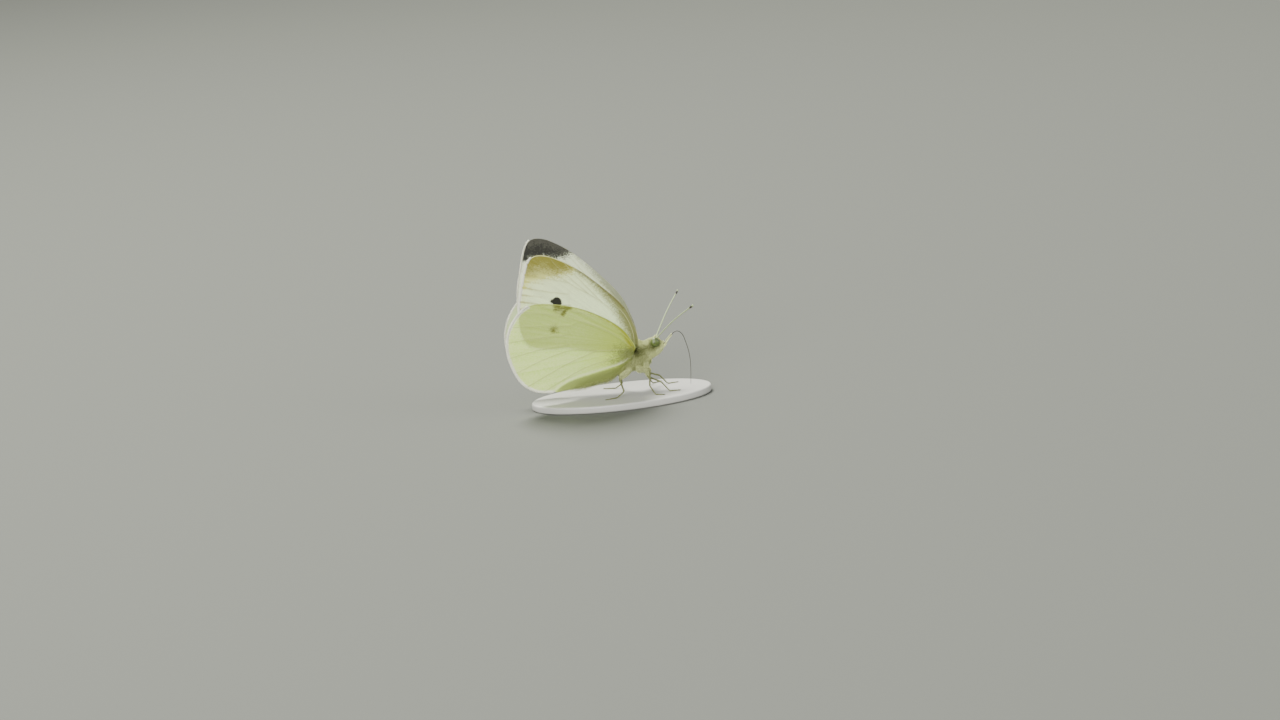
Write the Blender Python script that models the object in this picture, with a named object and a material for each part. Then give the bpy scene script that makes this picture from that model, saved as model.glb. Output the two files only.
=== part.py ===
"""A small white butterfly, life size, standing on a thin oval plate with its wings half closed.

Run with: blender --background --python part.py, or from Blender's text editor.

The world is in metres with +Z up. +X is the way the head points and +Y is the butterfly's
left. The origin lies under the middle of the whole model, on the surface the plate stands on.
Every size below is in millimetres, in the butterfly's own frame: its origin is the point
between the wing hinges, on the middle plane of the body.
"""

import math

import bmesh
import bpy
from mathutils import Matrix, Vector
from mathutils.geometry import interpolate_bezier

# ---------------------------------------------------------------- driving dimensions, mm and degrees
MM = 0.001                      # one millimetre in Blender's metres
GAP = 0.3                       # left between neighbouring pieces
HINGE_PLACE = (5.14, 0.0, 8.8)   # the hinge point above the model's origin

# Wings: each is a sheet that leans out from upright and parts from its twin towards the back.
WING_THICKNESS = 0.5
HINGE_OFFSET = 1.45             # from the middle plane of the body to the forewing's mid sheet
WING_DROOP = 4.5                # degrees that a wing's long line falls towards the back
WING_FLARE = 4.5                # degrees that it parts from the middle plane
WING_LEAN = 14.8                # degrees that it leans out from upright
WING_CAMBER = 0.5               # outward swell halfway out
WING_REACH = 27.0               # distance from the hinge at which the swell is gone
LAYER = WING_THICKNESS + GAP    # the hindwing lies outside the forewing

# Margins as (back, up) from the hinge, from the front of the root round to its rear.
FOREWING_MARGIN = (
    (-0.1, 0.5), (-0.2, 2.4), (0.2, 4.8), (1.4, 8.5), (4.5, 12.9), (8.1, 16.95), (11.5, 19.55),
    (13.6, 20.35),
    (15.0, 20.1),               # apex
    (16.0, 18.9), (17.3, 15.4), (18.3, 12.2), (18.75, 8.3), (18.4, 6.3),
    (17.5, 4.7),                # hind corner
    (14.6, 3.35), (11.5, 2.75), (8.0, 1.3), (4.4, 0.5),
    (1.7, 0.35),
)
FOREWING_APEX = 8
FOREWING_CORNER = 14
HINDWING_MARGIN = (
    (0.5, 0.3), (0.7, 1.3), (2.1, 4.3), (5.2, 7.45), (9.25, 10.1), (13.7, 11.7),
    (16.9, 11.9),               # apex
    (19.1, 10.4), (20.9, 7.7), (21.55, 4.7), (21.2, 1.4), (20.0, -1.9), (17.9, -3.85),
    (15.2, -4.6),               # hind corner, where the crease meets the margin
)
HINDWING_APEX = 6
# Below the crease the sheet turns in under the abdomen; this is its edge, laid flat.
FOLD_EDGE = ((1.4, -1.7), (2.8, -3.1), (5.2, -4.9), (7.9, -5.05), (10.6, -5.3), (12.2, -5.1), (14.7, -4.75))
CREASE = ((1.3, -1.3), (3.4, -2.3), (5.6, -2.65), (8.9, -2.95), (11.5, -3.2), (13.6, -3.8), (15.2, -4.6))
FOLD_ANGLE = 30.0
LEFT_HINDWING_SWING = -3.6      # degrees that the left hindwing hangs lower than the right
SPAN_STEPS = 16                 # faces along a wing
CHORD_STEPS = 14                # faces across it
FOLD_STEPS = 3

# Body: an axis in the middle plane as (forward, up), and half widths and heights along it.
BODY_AXIS = (
    (-11.9, -2.35), (-7.5, -2.1), (-3.6, -1.9), (-0.7, -1.55), (1.35, -0.75), (2.9, -0.15), (4.2, 0.3),
)
# (share of the axis from tail to face, half width, half height)
ABDOMEN = ((0.0, 0.3, 0.35), (0.03, 0.72, 0.85), (0.09, 1.0, 1.15), (0.27, 1.2, 1.4), (0.4, 1.15, 1.35),
           (0.494, 0.95, 1.15))
THORAX = ((0.513, 1.0, 1.25), (0.565, 1.35, 1.9), (0.66, 1.55, 2.4), (0.73, 1.45, 2.25),
          (0.775, 1.25, 1.95), (0.806, 1.1, 1.7))
HEAD = ((0.825, 1.05, 1.55), (0.868, 1.15, 1.5), (0.91, 1.12, 1.4), (0.952, 0.92, 1.15),
        (0.982, 0.55, 0.7), (0.998, 0.2, 0.25))
ABDOMEN_RINGS = 18
THORAX_RINGS = 13
HEAD_RINGS = 11
BODY_SIDES = 18
RING_GROOVE = 0.04              # depth of the grooves between abdomen rings, as a share of the radius
ABDOMEN_SEGMENTS = 6

EYE_PLACE = (2.85, 0.82, 0.35)
EYE_RADIUS = 0.78
EYE_BULGE = 0.55                # how far it stands out of its own rim
EYE_ROOT = 0.2                  # how far it reaches in from the rim
EYE_GAP = 0.2

FEELER_RADIUS = 0.25            # antennae, palps and proboscis
ANTENNA_ROOT = (3.2, 0.55, 1.55)
ANTENNA_TIPS = {"left": (7.86, 7.3, 7.2), "right": (9.55, 7.3, 7.24)}
ANTENNA_BOW = 0.35              # how far the shaft arches above its straight line
ANTENNA_STEPS = 9
CLUB_SHARE = 0.15               # of the antenna's length
CLUB_RADIUS = 0.33
PALP = ((4.45, 0.66, 0.3), (5.0, 0.72, 0.75), (5.8, 0.74, 1.35))
PALP_RADII = (0.27, 0.3, 0.25)
# (forward, up): out between the palps, over in an arch and down to just above the plate.
PROBOSCIS = (
    (4.55, 0.2), (5.2, 0.75), (5.9, 1.4), (6.5, 1.78), (7.0, 1.72), (7.5, 1.3), (7.8, 0.65),
    (8.2, -0.95), (8.42, -2.4), (8.45, -4.2), (8.15, -7.05),
)
PROBOSCIS_CUTS = (0.0, 0.24, 0.5, 1.0)
PROBOSCIS_NAMES = ("proboscis_base", "proboscis_arch", "proboscis_tip")
PROBOSCIS_STEPS = 7

LEG_RADIUS = 0.25
# hip, knee, ankle, sole and toe as (forward, out, up); the foot lies flat from sole to toe
LEGS = {
    "front": ((1.05, 0.7, -3.2), (1.15, 1.8, -5.0), (3.2, 2.6, -5.7), (4.4, 2.9, -7.05), (6.1, 3.2, -7.05)),
    "middle": ((-0.25, 0.95, -4.15), (1.6, 2.5, -3.6), (1.2, 3.8, -5.9), (2.0, 4.4, -7.05), (3.4, 5.3, -7.05)),
    "hind": ((-1.9, 0.95, -4.05), (-3.6, 2.1, -4.75), (-3.1, 3.2, -6.5), (-4.3, 3.7, -7.05), (-6.2, 4.4, -7.05)),
}
LEG_PARTS = {"femur": (0, 2), "tibia": (1, 3), "foot": (2, 5)}   # the joints that each runs through

PLATE_LENGTH = 30.0
PLATE_WIDTH = 17.0
PLATE_THICKNESS = 1.2
PLATE_CENTRE = -3.5             # forward of the hinge
PLATE_TOP = -7.6                # below the hinge
PLATE_BEVEL = 0.3
PLATE_SIDES = 48

# ---------------------------------------------------------------- colours: sRGB hex, roughness
COLOURS = {
    "wing": ("d8dcc8", 0.55),
    "body": ("c9cbb0", 0.8),
    "eye": ("3f5238", 0.25),
    "feeler": ("c4c2ad", 0.5),
    "club": ("2a2620", 0.5),
    "tongue": ("3a3630", 0.4),
    "leg": ("6d6a50", 0.6),
    "plate": ("e9e7e1", 0.35),
}
SIDES = {"left": 1, "right": -1}


def linear(hex_colour):
    """Turn an sRGB hex colour into linear RGBA."""
    channels = [int(hex_colour[i:i + 2], 16) / 255 for i in (0, 2, 4)]
    return [c / 12.92 if c <= 0.04045 else ((c + 0.055) / 1.055) ** 2.4 for c in channels] + [1.0]


def make_material(name):
    """Return a new Principled material with one of the model's colours."""
    hex_colour, roughness = COLOURS[name]
    material = bpy.data.materials.new(name)
    material.use_nodes = True
    shader = material.node_tree.nodes["Principled BSDF"]
    shader.inputs["Base Color"].default_value = linear(hex_colour)
    shader.inputs["Roughness"].default_value = roughness
    shader.inputs["Metallic"].default_value = 0.0
    return material


def add_object(name, data, material_name):
    """Link an object under the butterfly's own frame and give it its material."""
    obj = bpy.data.objects.new(name, data)
    bpy.context.collection.objects.link(obj)
    obj.parent = bpy.data.objects["butterfly_frame"]
    data.materials.append(bpy.data.materials[material_name])
    return obj


def add_mesh(name, bm, material_name, smooth_angle=40):
    """Turn a bmesh in millimetres into a smooth-shaded object in metres."""
    bm.normal_update()
    bmesh.ops.recalc_face_normals(bm, faces=bm.faces)
    bmesh.ops.scale(bm, vec=(MM, MM, MM), verts=bm.verts)
    mesh = bpy.data.meshes.new(name)
    bm.to_mesh(mesh)
    bm.free()
    mesh.shade_smooth()
    mesh.set_sharp_from_angle(angle=math.radians(smooth_angle))
    return add_object(name, mesh, material_name)


# ---------------------------------------------------------------- smooth lines
def smooth_line(knots, steps=10):
    """Return a dense smooth line through the knots, with steps points for each stretch."""
    knots = [Vector(knot).to_3d() for knot in knots]
    last = len(knots) - 1
    line = [knots[0]]
    for i in range(last):
        start, end = knots[i], knots[i + 1]
        reach = (end - start).length / 3
        leave = (end - knots[max(i - 1, 0)]).normalized() * reach
        arrive = (knots[min(i + 2, last)] - start).normalized() * reach
        line += interpolate_bezier(start, start + leave, end - arrive, end, steps + 1)[1:]
    return line


def point_along(line, share):
    """Return the point at a share of a dense line's length, and the line's direction there."""
    lengths = [(b - a).length for a, b in zip(line, line[1:])]
    left = share * sum(lengths)
    for i, length in enumerate(lengths):
        if left <= length or i == len(lengths) - 1:
            direction = (line[i + 1] - line[i]).normalized()
            return line[i] + direction * left, direction
        left -= length


def evenly(line, steps):
    """Return steps + 1 points spaced evenly along a dense line."""
    return [point_along(line, i / steps)[0] for i in range(steps + 1)]


# ---------------------------------------------------------------- wings
def wing_axes(side):
    """Return a wing's backward, upward and outward directions; side is +1 left, -1 right."""
    droop, flare, lean = (math.radians(a) for a in (WING_DROOP, WING_FLARE, WING_LEAN))
    back = Vector((-math.cos(droop) * math.cos(flare), side * math.sin(flare),
                   -math.sin(droop) * math.cos(flare)))
    upright = Vector((-math.sin(droop), 0, math.cos(droop)))
    up = upright * math.cos(lean) + Vector((0, side * math.sin(lean), 0))
    up = (up - back * up.dot(back)).normalized()
    return back, up, back.cross(up) * side


def place_on_wing(point, fold, side, layer, swing):
    """Return the place in space of a (back, up) point, folded in by fold millimetres of sheet."""
    turned = Matrix.Rotation(math.radians(swing), 3, "Z") @ point
    back, up, out = wing_axes(side)
    swell = WING_CAMBER * math.sin(math.pi * min(turned.length / WING_REACH, 1.0))
    drop = fold * math.cos(math.radians(FOLD_ANGLE))
    tuck = fold * math.sin(math.radians(FOLD_ANGLE))
    hinge = Vector((0, side * HINGE_OFFSET, 0))
    return hinge + back * turned.x + up * (turned.y - drop) + out * (layer + swell - tuck)


def patch(lower, upper, inner, outer):
    """Fill four edge lines with a grid of points that blends between them."""
    rows = []
    for j in range(len(inner)):
        t = j / (len(inner) - 1)
        row = []
        for i in range(len(lower)):
            s = i / (len(lower) - 1)
            across = lower[i].lerp(upper[i], t) + inner[j].lerp(outer[j], s)
            corners = lower[0].lerp(lower[-1], s).lerp(upper[0].lerp(upper[-1], s), t)
            row.append(across - corners)
        rows.append(row)
    return rows


def make_sheet(name, rows):
    """Make a wing from rows of points on its mid sheet."""
    bm = bmesh.new()
    grid = [[bm.verts.new(point) for point in row] for row in rows]
    for low, high in zip(grid, grid[1:]):
        for i in range(len(low) - 1):
            bm.faces.new((low[i], low[i + 1], high[i + 1], high[i]))
    wing = add_mesh(name, bm, "wing")
    solidify = wing.modifiers.new("thickness", "SOLIDIFY")
    solidify.thickness = WING_THICKNESS * MM
    solidify.offset = 0.0
    solidify.use_even_offset = True
    return wing


def make_forewing(side_name):
    """The forewing: a rounded triangle on the inner layer."""
    side = SIDES[side_name]
    steps = 10
    margin = smooth_line(FOREWING_MARGIN, steps)
    costa = evenly(margin[:FOREWING_APEX * steps + 1], SPAN_STEPS)
    outer = evenly(margin[FOREWING_APEX * steps:FOREWING_CORNER * steps + 1], CHORD_STEPS)
    hind = evenly(margin[FOREWING_CORNER * steps:], SPAN_STEPS)
    root = evenly([costa[0], hind[-1]], CHORD_STEPS)
    flat = patch(hind[::-1], costa, root[::-1], outer[::-1])
    rows = [[place_on_wing(point, 0, side, 0, 0) for point in row] for row in flat]
    make_sheet("forewing_" + side_name, rows)


def make_hindwing(side_name):
    """The hindwing: a rounded fan on the outer layer, its rear folded in under the abdomen."""
    side = SIDES[side_name]
    swing = LEFT_HINDWING_SWING if side_name == "left" else 0.0
    steps = 10
    margin = smooth_line(HINDWING_MARGIN, steps)
    costa = evenly(margin[:HINDWING_APEX * steps + 1], SPAN_STEPS)
    outer = evenly(margin[HINDWING_APEX * steps:], CHORD_STEPS)
    crease = evenly(smooth_line(CREASE, steps), SPAN_STEPS)
    edge = evenly(smooth_line(FOLD_EDGE, steps), SPAN_STEPS)
    root = evenly([costa[0], crease[0]], CHORD_STEPS)
    rows = []
    for j in range(FOLD_STEPS):
        share = 1 - j / FOLD_STEPS
        row = []
        for on_crease, on_edge in zip(crease, edge):
            shift = (on_edge - on_crease) * share
            row.append(place_on_wing(on_crease + Vector((shift.x, 0, 0)), -shift.y, side, LAYER, swing))
        rows.append(row)
    flat = patch(crease, costa, root[::-1], outer[::-1])
    rows += [[place_on_wing(point, 0, side, LAYER, swing) for point in row] for row in flat]
    make_sheet("hindwing_" + side_name, rows)


# ---------------------------------------------------------------- body
def body_size(profile, share):
    """Return the half width and half height of the body at a share of its axis."""
    line = smooth_line(profile)
    for before, after in zip(line, line[1:]):
        if before.x <= share <= after.x:
            part = (share - before.x) / max(after.x - before.x, 1e-6)
            at = before.lerp(after, part)
            return at.y, at.z
    return (line[0] if share < line[0].x else line[-1]).yz


def make_body_part(name, profile, rings, grooves=0):
    """Loft one length of the body between the first and last stations of its profile."""
    axis = smooth_line([(x, 0, z) for x, z in BODY_AXIS])
    bm = bmesh.new()
    loops = []
    first, last = profile[0][0], profile[-1][0]
    for i in range(rings):
        part = i / (rings - 1)
        share = first + (last - first) * part
        centre, forward = point_along(axis, share)
        half_width, half_height = body_size(profile, share)
        if grooves and 0 < i < rings - 1:
            shrink = 1 - RING_GROOVE * math.cos(math.pi * grooves * part) ** 8
            half_width *= shrink
            half_height *= shrink
        up = forward.cross(Vector((0, 1, 0))) * -1
        turn = Matrix((Vector((0, 1, 0)), up, forward)).transposed().to_4x4()
        size = Matrix.Diagonal((half_width, half_height, 1, 1))
        ends = i in (0, rings - 1)
        ring = bmesh.ops.create_circle(bm, segments=BODY_SIDES, radius=1, cap_ends=ends,
                                       matrix=Matrix.Translation(centre) @ turn @ size)
        loops.append(list({edge for vert in ring["verts"] for edge in vert.link_edges}))
    for low, high in zip(loops, loops[1:]):
        bmesh.ops.bridge_loops(bm, edges=low + high)
    return add_mesh(name, bm, "body")


def make_eye(side_name):
    """A domed eye: a flattened ball, fuller on its outer side."""
    side = SIDES[side_name]
    x, y, z = EYE_PLACE
    bm = bmesh.new()
    bmesh.ops.create_uvsphere(bm, u_segments=16, v_segments=9, radius=1)
    for vert in bm.verts:
        flat = vert.co.copy()
        bulge = EYE_BULGE if flat.z > 0 else EYE_ROOT
        vert.co = Vector((x + EYE_RADIUS * flat.x, side * (y + bulge * flat.z), z + EYE_RADIUS * flat.y))
    add_mesh("eye_" + side_name, bm, "eye")


def cut_eye_socket(head, side_name):
    """Sink a socket into the head that leaves EYE_GAP all round the eye."""
    side = SIDES[side_name]
    x, y, z = EYE_PLACE
    bm = bmesh.new()
    bmesh.ops.create_uvsphere(bm, u_segments=16, v_segments=10, radius=1)
    wide = EYE_RADIUS + EYE_GAP
    deep = EYE_ROOT + EYE_GAP
    for vert in bm.verts:
        flat = vert.co.copy()
        bulge = EYE_BULGE + EYE_RADIUS if flat.z > 0 else deep
        vert.co = Vector((x + wide * flat.x, side * (y + bulge * flat.z), z + wide * flat.y))
    cutter = add_mesh("socket_" + side_name, bm, "eye")
    cutter.hide_render = True
    cutter.display_type = "WIRE"
    cut = head.modifiers.new("socket_" + side_name, "BOOLEAN")
    cut.operation = "DIFFERENCE"
    cut.solver = "EXACT"
    cut.object = cutter


# ---------------------------------------------------------------- rods: feelers, proboscis, legs
def make_rod(name, points, radii, material_name):
    """A round rod along points, as a bevelled curve with closed ends."""
    curve = bpy.data.curves.new(name, "CURVE")
    curve.dimensions = "3D"
    curve.bevel_depth = MM
    curve.bevel_resolution = 2
    curve.use_fill_caps = True
    spline = curve.splines.new("POLY")
    spline.points.add(len(points) - 1)
    for spline_point, point, radius in zip(spline.points, points, radii):
        spline_point.co = (*(Vector(point) * MM), 1)
        spline_point.radius = radius
    spline.use_smooth = True
    return add_object(name, curve, material_name)


def blunt_rod(name, points, radii, material_name):
    """A rod whose two ends are rounded by a narrower ring just inside each tip."""
    first, last = points[0], points[-1]
    into = (points[1] - first).normalized()
    out = (last - points[-2]).normalized()
    shoulder = 0.6
    points = [first, first + into * radii[0] * shoulder, *points[1:-1],
              last - out * radii[-1] * shoulder, last]
    radii = [radii[0] * shoulder, radii[0], *radii[1:-1], radii[-1], radii[-1] * shoulder]
    make_rod(name, points, radii, material_name)


def make_antenna(side_name):
    """A long arched shaft and the club on its end."""
    side = SIDES[side_name]
    root, tip = (Vector((x, side * y, z)) for x, y, z in (ANTENNA_ROOT, ANTENNA_TIPS[side_name]))
    middle = root.lerp(tip, 0.5) + Vector((0, 0, ANTENNA_BOW))
    line = smooth_line((root, middle, tip))
    length = (tip - root).length
    shaft_end = 1 - CLUB_SHARE - GAP / length
    shaft = [point_along(line, shaft_end * i / ANTENNA_STEPS)[0] for i in range(ANTENNA_STEPS + 1)]
    blunt_rod("antenna_" + side_name, shaft, [FEELER_RADIUS] * len(shaft), "feeler")
    club = [point_along(line, 1 - CLUB_SHARE * (1 - part))[0] for part in (0.0, 0.35, 0.7, 1.0)]
    blunt_rod("antenna_club_" + side_name, club, [FEELER_RADIUS, CLUB_RADIUS, CLUB_RADIUS, FEELER_RADIUS],
              "club")


def make_palp(side_name):
    """A short tapering palp that points forwards and up from the front of the face."""
    side = SIDES[side_name]
    points = [Vector((x, side * y, z)) for x, y, z in PALP]
    blunt_rod("palp_" + side_name, points, PALP_RADII, "body")


def make_proboscis():
    """The proboscis in three lengths: out between the palps, over and down."""
    line = smooth_line([(x, 0, z) for x, z in PROBOSCIS])
    length = sum((b - a).length for a, b in zip(line, line[1:]))
    for name, start, end in zip(PROBOSCIS_NAMES, PROBOSCIS_CUTS, PROBOSCIS_CUTS[1:]):
        if start > 0:
            start += GAP / length
        points = [point_along(line, start + (end - start) * i / PROBOSCIS_STEPS)[0]
                  for i in range(PROBOSCIS_STEPS + 1)]
        make_rod(name, points, [FEELER_RADIUS] * len(points), "tongue")


def make_leg(leg_name, side_name):
    """Femur, tibia and foot; each ends round its joint and the next begins clear of it."""
    side = SIDES[side_name]
    joints = [Vector((x, side * y, z)) for x, y, z in LEGS[leg_name]]
    for part, (first, after) in LEG_PARTS.items():
        points = joints[first:after]
        if first > 0:
            points[0] = points[0] + (points[1] - points[0]).normalized() * (LEG_RADIUS + GAP)
        if part != "foot":
            points[-1] = points[-1] + (points[-1] - points[-2]).normalized() * LEG_RADIUS
        blunt_rod(f"leg_{leg_name}_{side_name}_{part}", points, [LEG_RADIUS] * len(points), "leg")


# ---------------------------------------------------------------- stand
def make_plate():
    """The oval plate under the feet."""
    bm = bmesh.new()
    centre = Matrix.Translation((PLATE_CENTRE, 0, PLATE_TOP - PLATE_THICKNESS))
    oval = Matrix.Diagonal((PLATE_LENGTH / 2, PLATE_WIDTH / 2, 1, 1))
    bmesh.ops.create_circle(bm, segments=PLATE_SIDES, radius=1, cap_ends=True, matrix=centre @ oval)
    top = bmesh.ops.extrude_face_region(bm, geom=list(bm.faces))
    verts = [item for item in top["geom"] if isinstance(item, bmesh.types.BMVert)]
    bmesh.ops.translate(bm, verts=verts, vec=(0, 0, PLATE_THICKNESS))
    plate = add_mesh("stand_plate", bm, "plate")
    bevel = plate.modifiers.new("edge", "BEVEL")
    bevel.width = PLATE_BEVEL * MM
    bevel.segments = 2
    bevel.limit_method = "ANGLE"


def main():
    for obj in list(bpy.data.objects):
        bpy.data.objects.remove(obj)
    frame = bpy.data.objects.new("butterfly_frame", None)
    frame.location = Vector(HINGE_PLACE) * MM
    bpy.context.collection.objects.link(frame)
    for name in COLOURS:
        make_material(name)
    make_body_part("abdomen", ABDOMEN, ABDOMEN_RINGS, ABDOMEN_SEGMENTS)
    make_body_part("thorax", THORAX, THORAX_RINGS)
    head = make_body_part("head", HEAD, HEAD_RINGS)
    for side_name in SIDES:
        make_forewing(side_name)
        make_hindwing(side_name)
        make_eye(side_name)
        cut_eye_socket(head, side_name)
        make_antenna(side_name)
        make_palp(side_name)
        for leg_name in LEGS:
            make_leg(leg_name, side_name)
    make_proboscis()
    make_plate()


if __name__ == "__main__":
    main()
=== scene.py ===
"""The looks of a small white butterfly at rest on its display plate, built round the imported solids.

Shapes are worked out in millimetres from the point between the wing hinges, +X towards the head,
+Y to the butterfly's left, and are put in place in metres when their mesh is finished.
"""

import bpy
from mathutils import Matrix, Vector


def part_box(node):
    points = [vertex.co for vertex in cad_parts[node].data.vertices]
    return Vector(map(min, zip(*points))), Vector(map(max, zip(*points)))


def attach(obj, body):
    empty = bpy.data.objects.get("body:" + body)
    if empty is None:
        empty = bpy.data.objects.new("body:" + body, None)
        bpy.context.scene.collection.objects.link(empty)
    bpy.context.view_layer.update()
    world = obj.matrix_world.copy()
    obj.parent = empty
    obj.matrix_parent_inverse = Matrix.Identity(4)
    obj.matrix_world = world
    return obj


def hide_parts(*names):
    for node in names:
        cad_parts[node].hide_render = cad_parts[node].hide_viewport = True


bl_info = {
    "name": "Small white butterfly",
    "version": (1, 0, 0),
    "blender": (4, 5, 0),
    "location": "3D View > Sidebar > Butterfly",
    "description": "Wings, body, coat and stage of a life-size small white butterfly",
    "category": "Object",
}

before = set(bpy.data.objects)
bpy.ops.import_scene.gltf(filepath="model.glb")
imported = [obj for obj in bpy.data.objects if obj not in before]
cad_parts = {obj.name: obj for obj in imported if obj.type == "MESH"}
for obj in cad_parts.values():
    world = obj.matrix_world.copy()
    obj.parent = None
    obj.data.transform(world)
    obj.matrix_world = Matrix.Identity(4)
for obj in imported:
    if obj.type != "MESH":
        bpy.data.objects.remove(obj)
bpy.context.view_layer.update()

import math

import bmesh
import bpy
import numpy as np
from bpy.props import FloatProperty, FloatVectorProperty, IntProperty, PointerProperty
from mathutils import Matrix, Vector
from mathutils.geometry import interpolate_bezier

MM = 0.001
SIDES = {"left": 1, "right": -1}

# ---------------------------------------------------------------- the butterfly's own frame
PLATE_LOW, PLATE_HIGH = (Vector(corner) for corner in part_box("stand_plate"))
PLATE_TOP = -7.6                # mm from the hinges down to the plate
HINGE = Vector(((PLATE_LOW.x + PLATE_HIGH.x) / 2 + 3.5 * MM, (PLATE_LOW.y + PLATE_HIGH.y) / 2,
                PLATE_HIGH.z - PLATE_TOP * MM))

# ---------------------------------------------------------------- wings, in mm and degrees
HINGE_OFFSET = 1.45
WING_DROOP = 4.5
WING_FLARE = 4.5
WING_LEAN = 14.8
WING_CAMBER = 0.5
WING_REACH = 27.0
FOREWING_LAYER = 0.28           # each sheet lies near the side of its solid where the wings touch
HINDWING_LAYER = 0.52
FOLD_ANGLE = 30.0
FOLD_ROUND = 0.5                # mm of sheet over which the crease bends
LEFT_HINDWING_SWING = -3.6
SMOOTH_STEPS = 24

FOREWING_MARGIN = (
    (-0.1, 0.5), (-0.2, 2.4), (0.2, 4.8), (1.4, 8.5), (4.5, 12.9), (8.1, 16.95), (11.5, 19.55),
    (13.6, 20.35), (15.0, 20.1), (16.0, 18.9), (17.3, 15.4), (18.3, 12.2), (18.75, 8.3), (18.4, 6.3),
    (17.5, 4.8), (14.6, 3.65), (11.5, 3.2), (8.0, 1.75), (4.4, 0.65), (1.7, 0.35),
)
FOREWING_APEX = 8
FOREWING_CORNER = 14
HINDWING_MARGIN = (
    (0.5, 0.3), (0.7, 1.3), (2.1, 4.3), (5.2, 7.45), (9.25, 10.1), (13.7, 11.7), (16.9, 11.9),
    (19.1, 10.4), (20.9, 7.7), (21.55, 4.7), (21.2, 1.4), (20.0, -1.8), (17.9, -3.65), (15.2, -4.35),
)
HINDWING_APEX = 6
FOLD_EDGE = ((1.4, -1.7), (2.8, -3.1), (5.2, -4.9), (7.9, -5.05), (10.6, -5.2), (12.2, -4.95), (14.7, -4.55))
CREASE = ((1.3, -1.2), (3.4, -1.95), (5.6, -2.15), (8.9, -2.4), (11.5, -2.7), (13.6, -3.35), (15.2, -4.35))

# Veins as (back, up), each from where it leaves its stem out to the margin.
FOREWING_VEINS = (
    ((0.5, 0.7), (0.5, 3.5), (1.4, 6.9), (3.6, 10.3), (6.1, 13.5), (8.0, 16.3)),      # subcosta
    ((0.8, 0.7), (1.5, 4.4), (3.4, 8.2), (6.0, 11.3), (8.6, 13.6)),                   # top of the cell
    ((4.6, 9.8), (6.6, 13.0), (9.0, 16.9), (9.7, 18.2)),                              # first radial
    ((6.6, 11.9), (9.2, 15.4), (11.2, 18.2), (11.9, 19.6)),                           # second radial
    ((8.6, 13.6), (11.2, 16.4), (13.1, 18.6), (14.0, 20.1)),                          # third radial
    ((10.6, 15.7), (13.3, 17.4), (15.6, 19.1)),                                       # last radial
    ((9.7, 14.7), (13.2, 16.2), (16.5, 17.5)),                                        # first medial
    ((9.9, 12.6), (13.6, 13.9), (17.2, 15.4)),                                        # second medial
    ((8.6, 13.6), (9.6, 13.4), (10.0, 12.2), (9.9, 10.4), (9.6, 9.1)),                # end of the cell
    ((9.9, 10.6), (14.0, 11.6), (17.9, 12.9)),                                        # third medial
    ((1.0, 0.6), (3.0, 3.2), (6.0, 6.3), (9.6, 9.1), (14.0, 9.9), (18.4, 10.3)),      # first cubital
    ((6.2, 6.5), (10.5, 6.8), (14.5, 7.2), (18.4, 7.2)),                              # second cubital
    ((1.4, 0.5), (5.0, 1.9), (9.5, 3.4), (14.0, 4.5), (17.9, 5.5)),                   # anal vein
)
HINDWING_VEINS = (
    ((0.8, 0.5), (1.4, 2.3), (3.6, 5.3), (7.0, 8.2), (11.0, 10.1), (14.6, 11.3)),     # subcosta
    ((0.9, 0.3), (2.6, 2.6), (5.6, 5.4), (9.0, 7.6), (13.6, 9.8), (18.0, 11.2)),      # radial
    ((9.0, 7.6), (10.4, 7.0), (11.4, 5.5), (11.4, 4.0), (10.6, 2.6)),                 # end of the cell
    ((10.4, 7.0), (15.2, 8.0), (20.2, 8.8)),                                          # first medial
    ((11.4, 5.5), (16.4, 6.0), (21.3, 6.1)),                                          # second medial
    ((11.3, 3.7), (16.3, 3.8), (21.4, 3.3)),                                          # third medial
    ((0.9, 0.1), (3.2, 0.7), (6.8, 1.5), (10.6, 2.6), (15.8, 1.9), (20.8, 0.4)),      # first cubital
    ((6.8, 1.5), (12.0, 0.3), (19.4, -2.5)),                                          # second cubital
    ((1.1, -0.3), (4.6, -0.6), (9.6, -1.2), (17.2, -4.1)),                            # anal vein
)
# The forewing's round spots as (back, up, radius along, radius across).
FOREWING_SPOTS = ((12.0, 11.6, 0.8, 0.9), (12.68, 11.9, 0.42, 0.36), (13.3, 6.9, 0.6, 0.7))
# Pleats between the veins, seen as fine streaks near the margin.
FOREWING_PLEATS = (
    ((13.4, 15.2), (16.9, 16.4)), ((13.6, 12.8), (17.6, 14.1)), ((13.6, 10.8), (18.2, 11.6)),
    ((13.4, 8.6), (18.5, 8.8)), ((13.6, 5.9), (18.2, 6.4)), ((11.6, 17.2), (14.8, 19.4)),
)
HINDWING_SPOT = (11.9, 9.8, 0.55, 0.75)
CELL_END = {"forewing": 8, "hindwing": 2}     # the faint cross vein that closes the cell
# Painted shadows of the forewing's spots as they show through the hindwing: back, up, two radii, depth and
# how much it is faded.
SPOT_SHADOWS = ((12.0, 11.2, 0.8, 1.0, 0.8, 0.0), (13.3, 6.9, 1.0, 1.1, 0.55, 0.25))

# ---------------------------------------------------------------- body, in mm
BODY_AXIS = (
    (-11.9, -2.35), (-7.5, -2.1), (-3.6, -1.9), (-0.7, -1.55), (1.35, -0.75), (2.9, -0.15), (4.2, 0.3),
)
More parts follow.
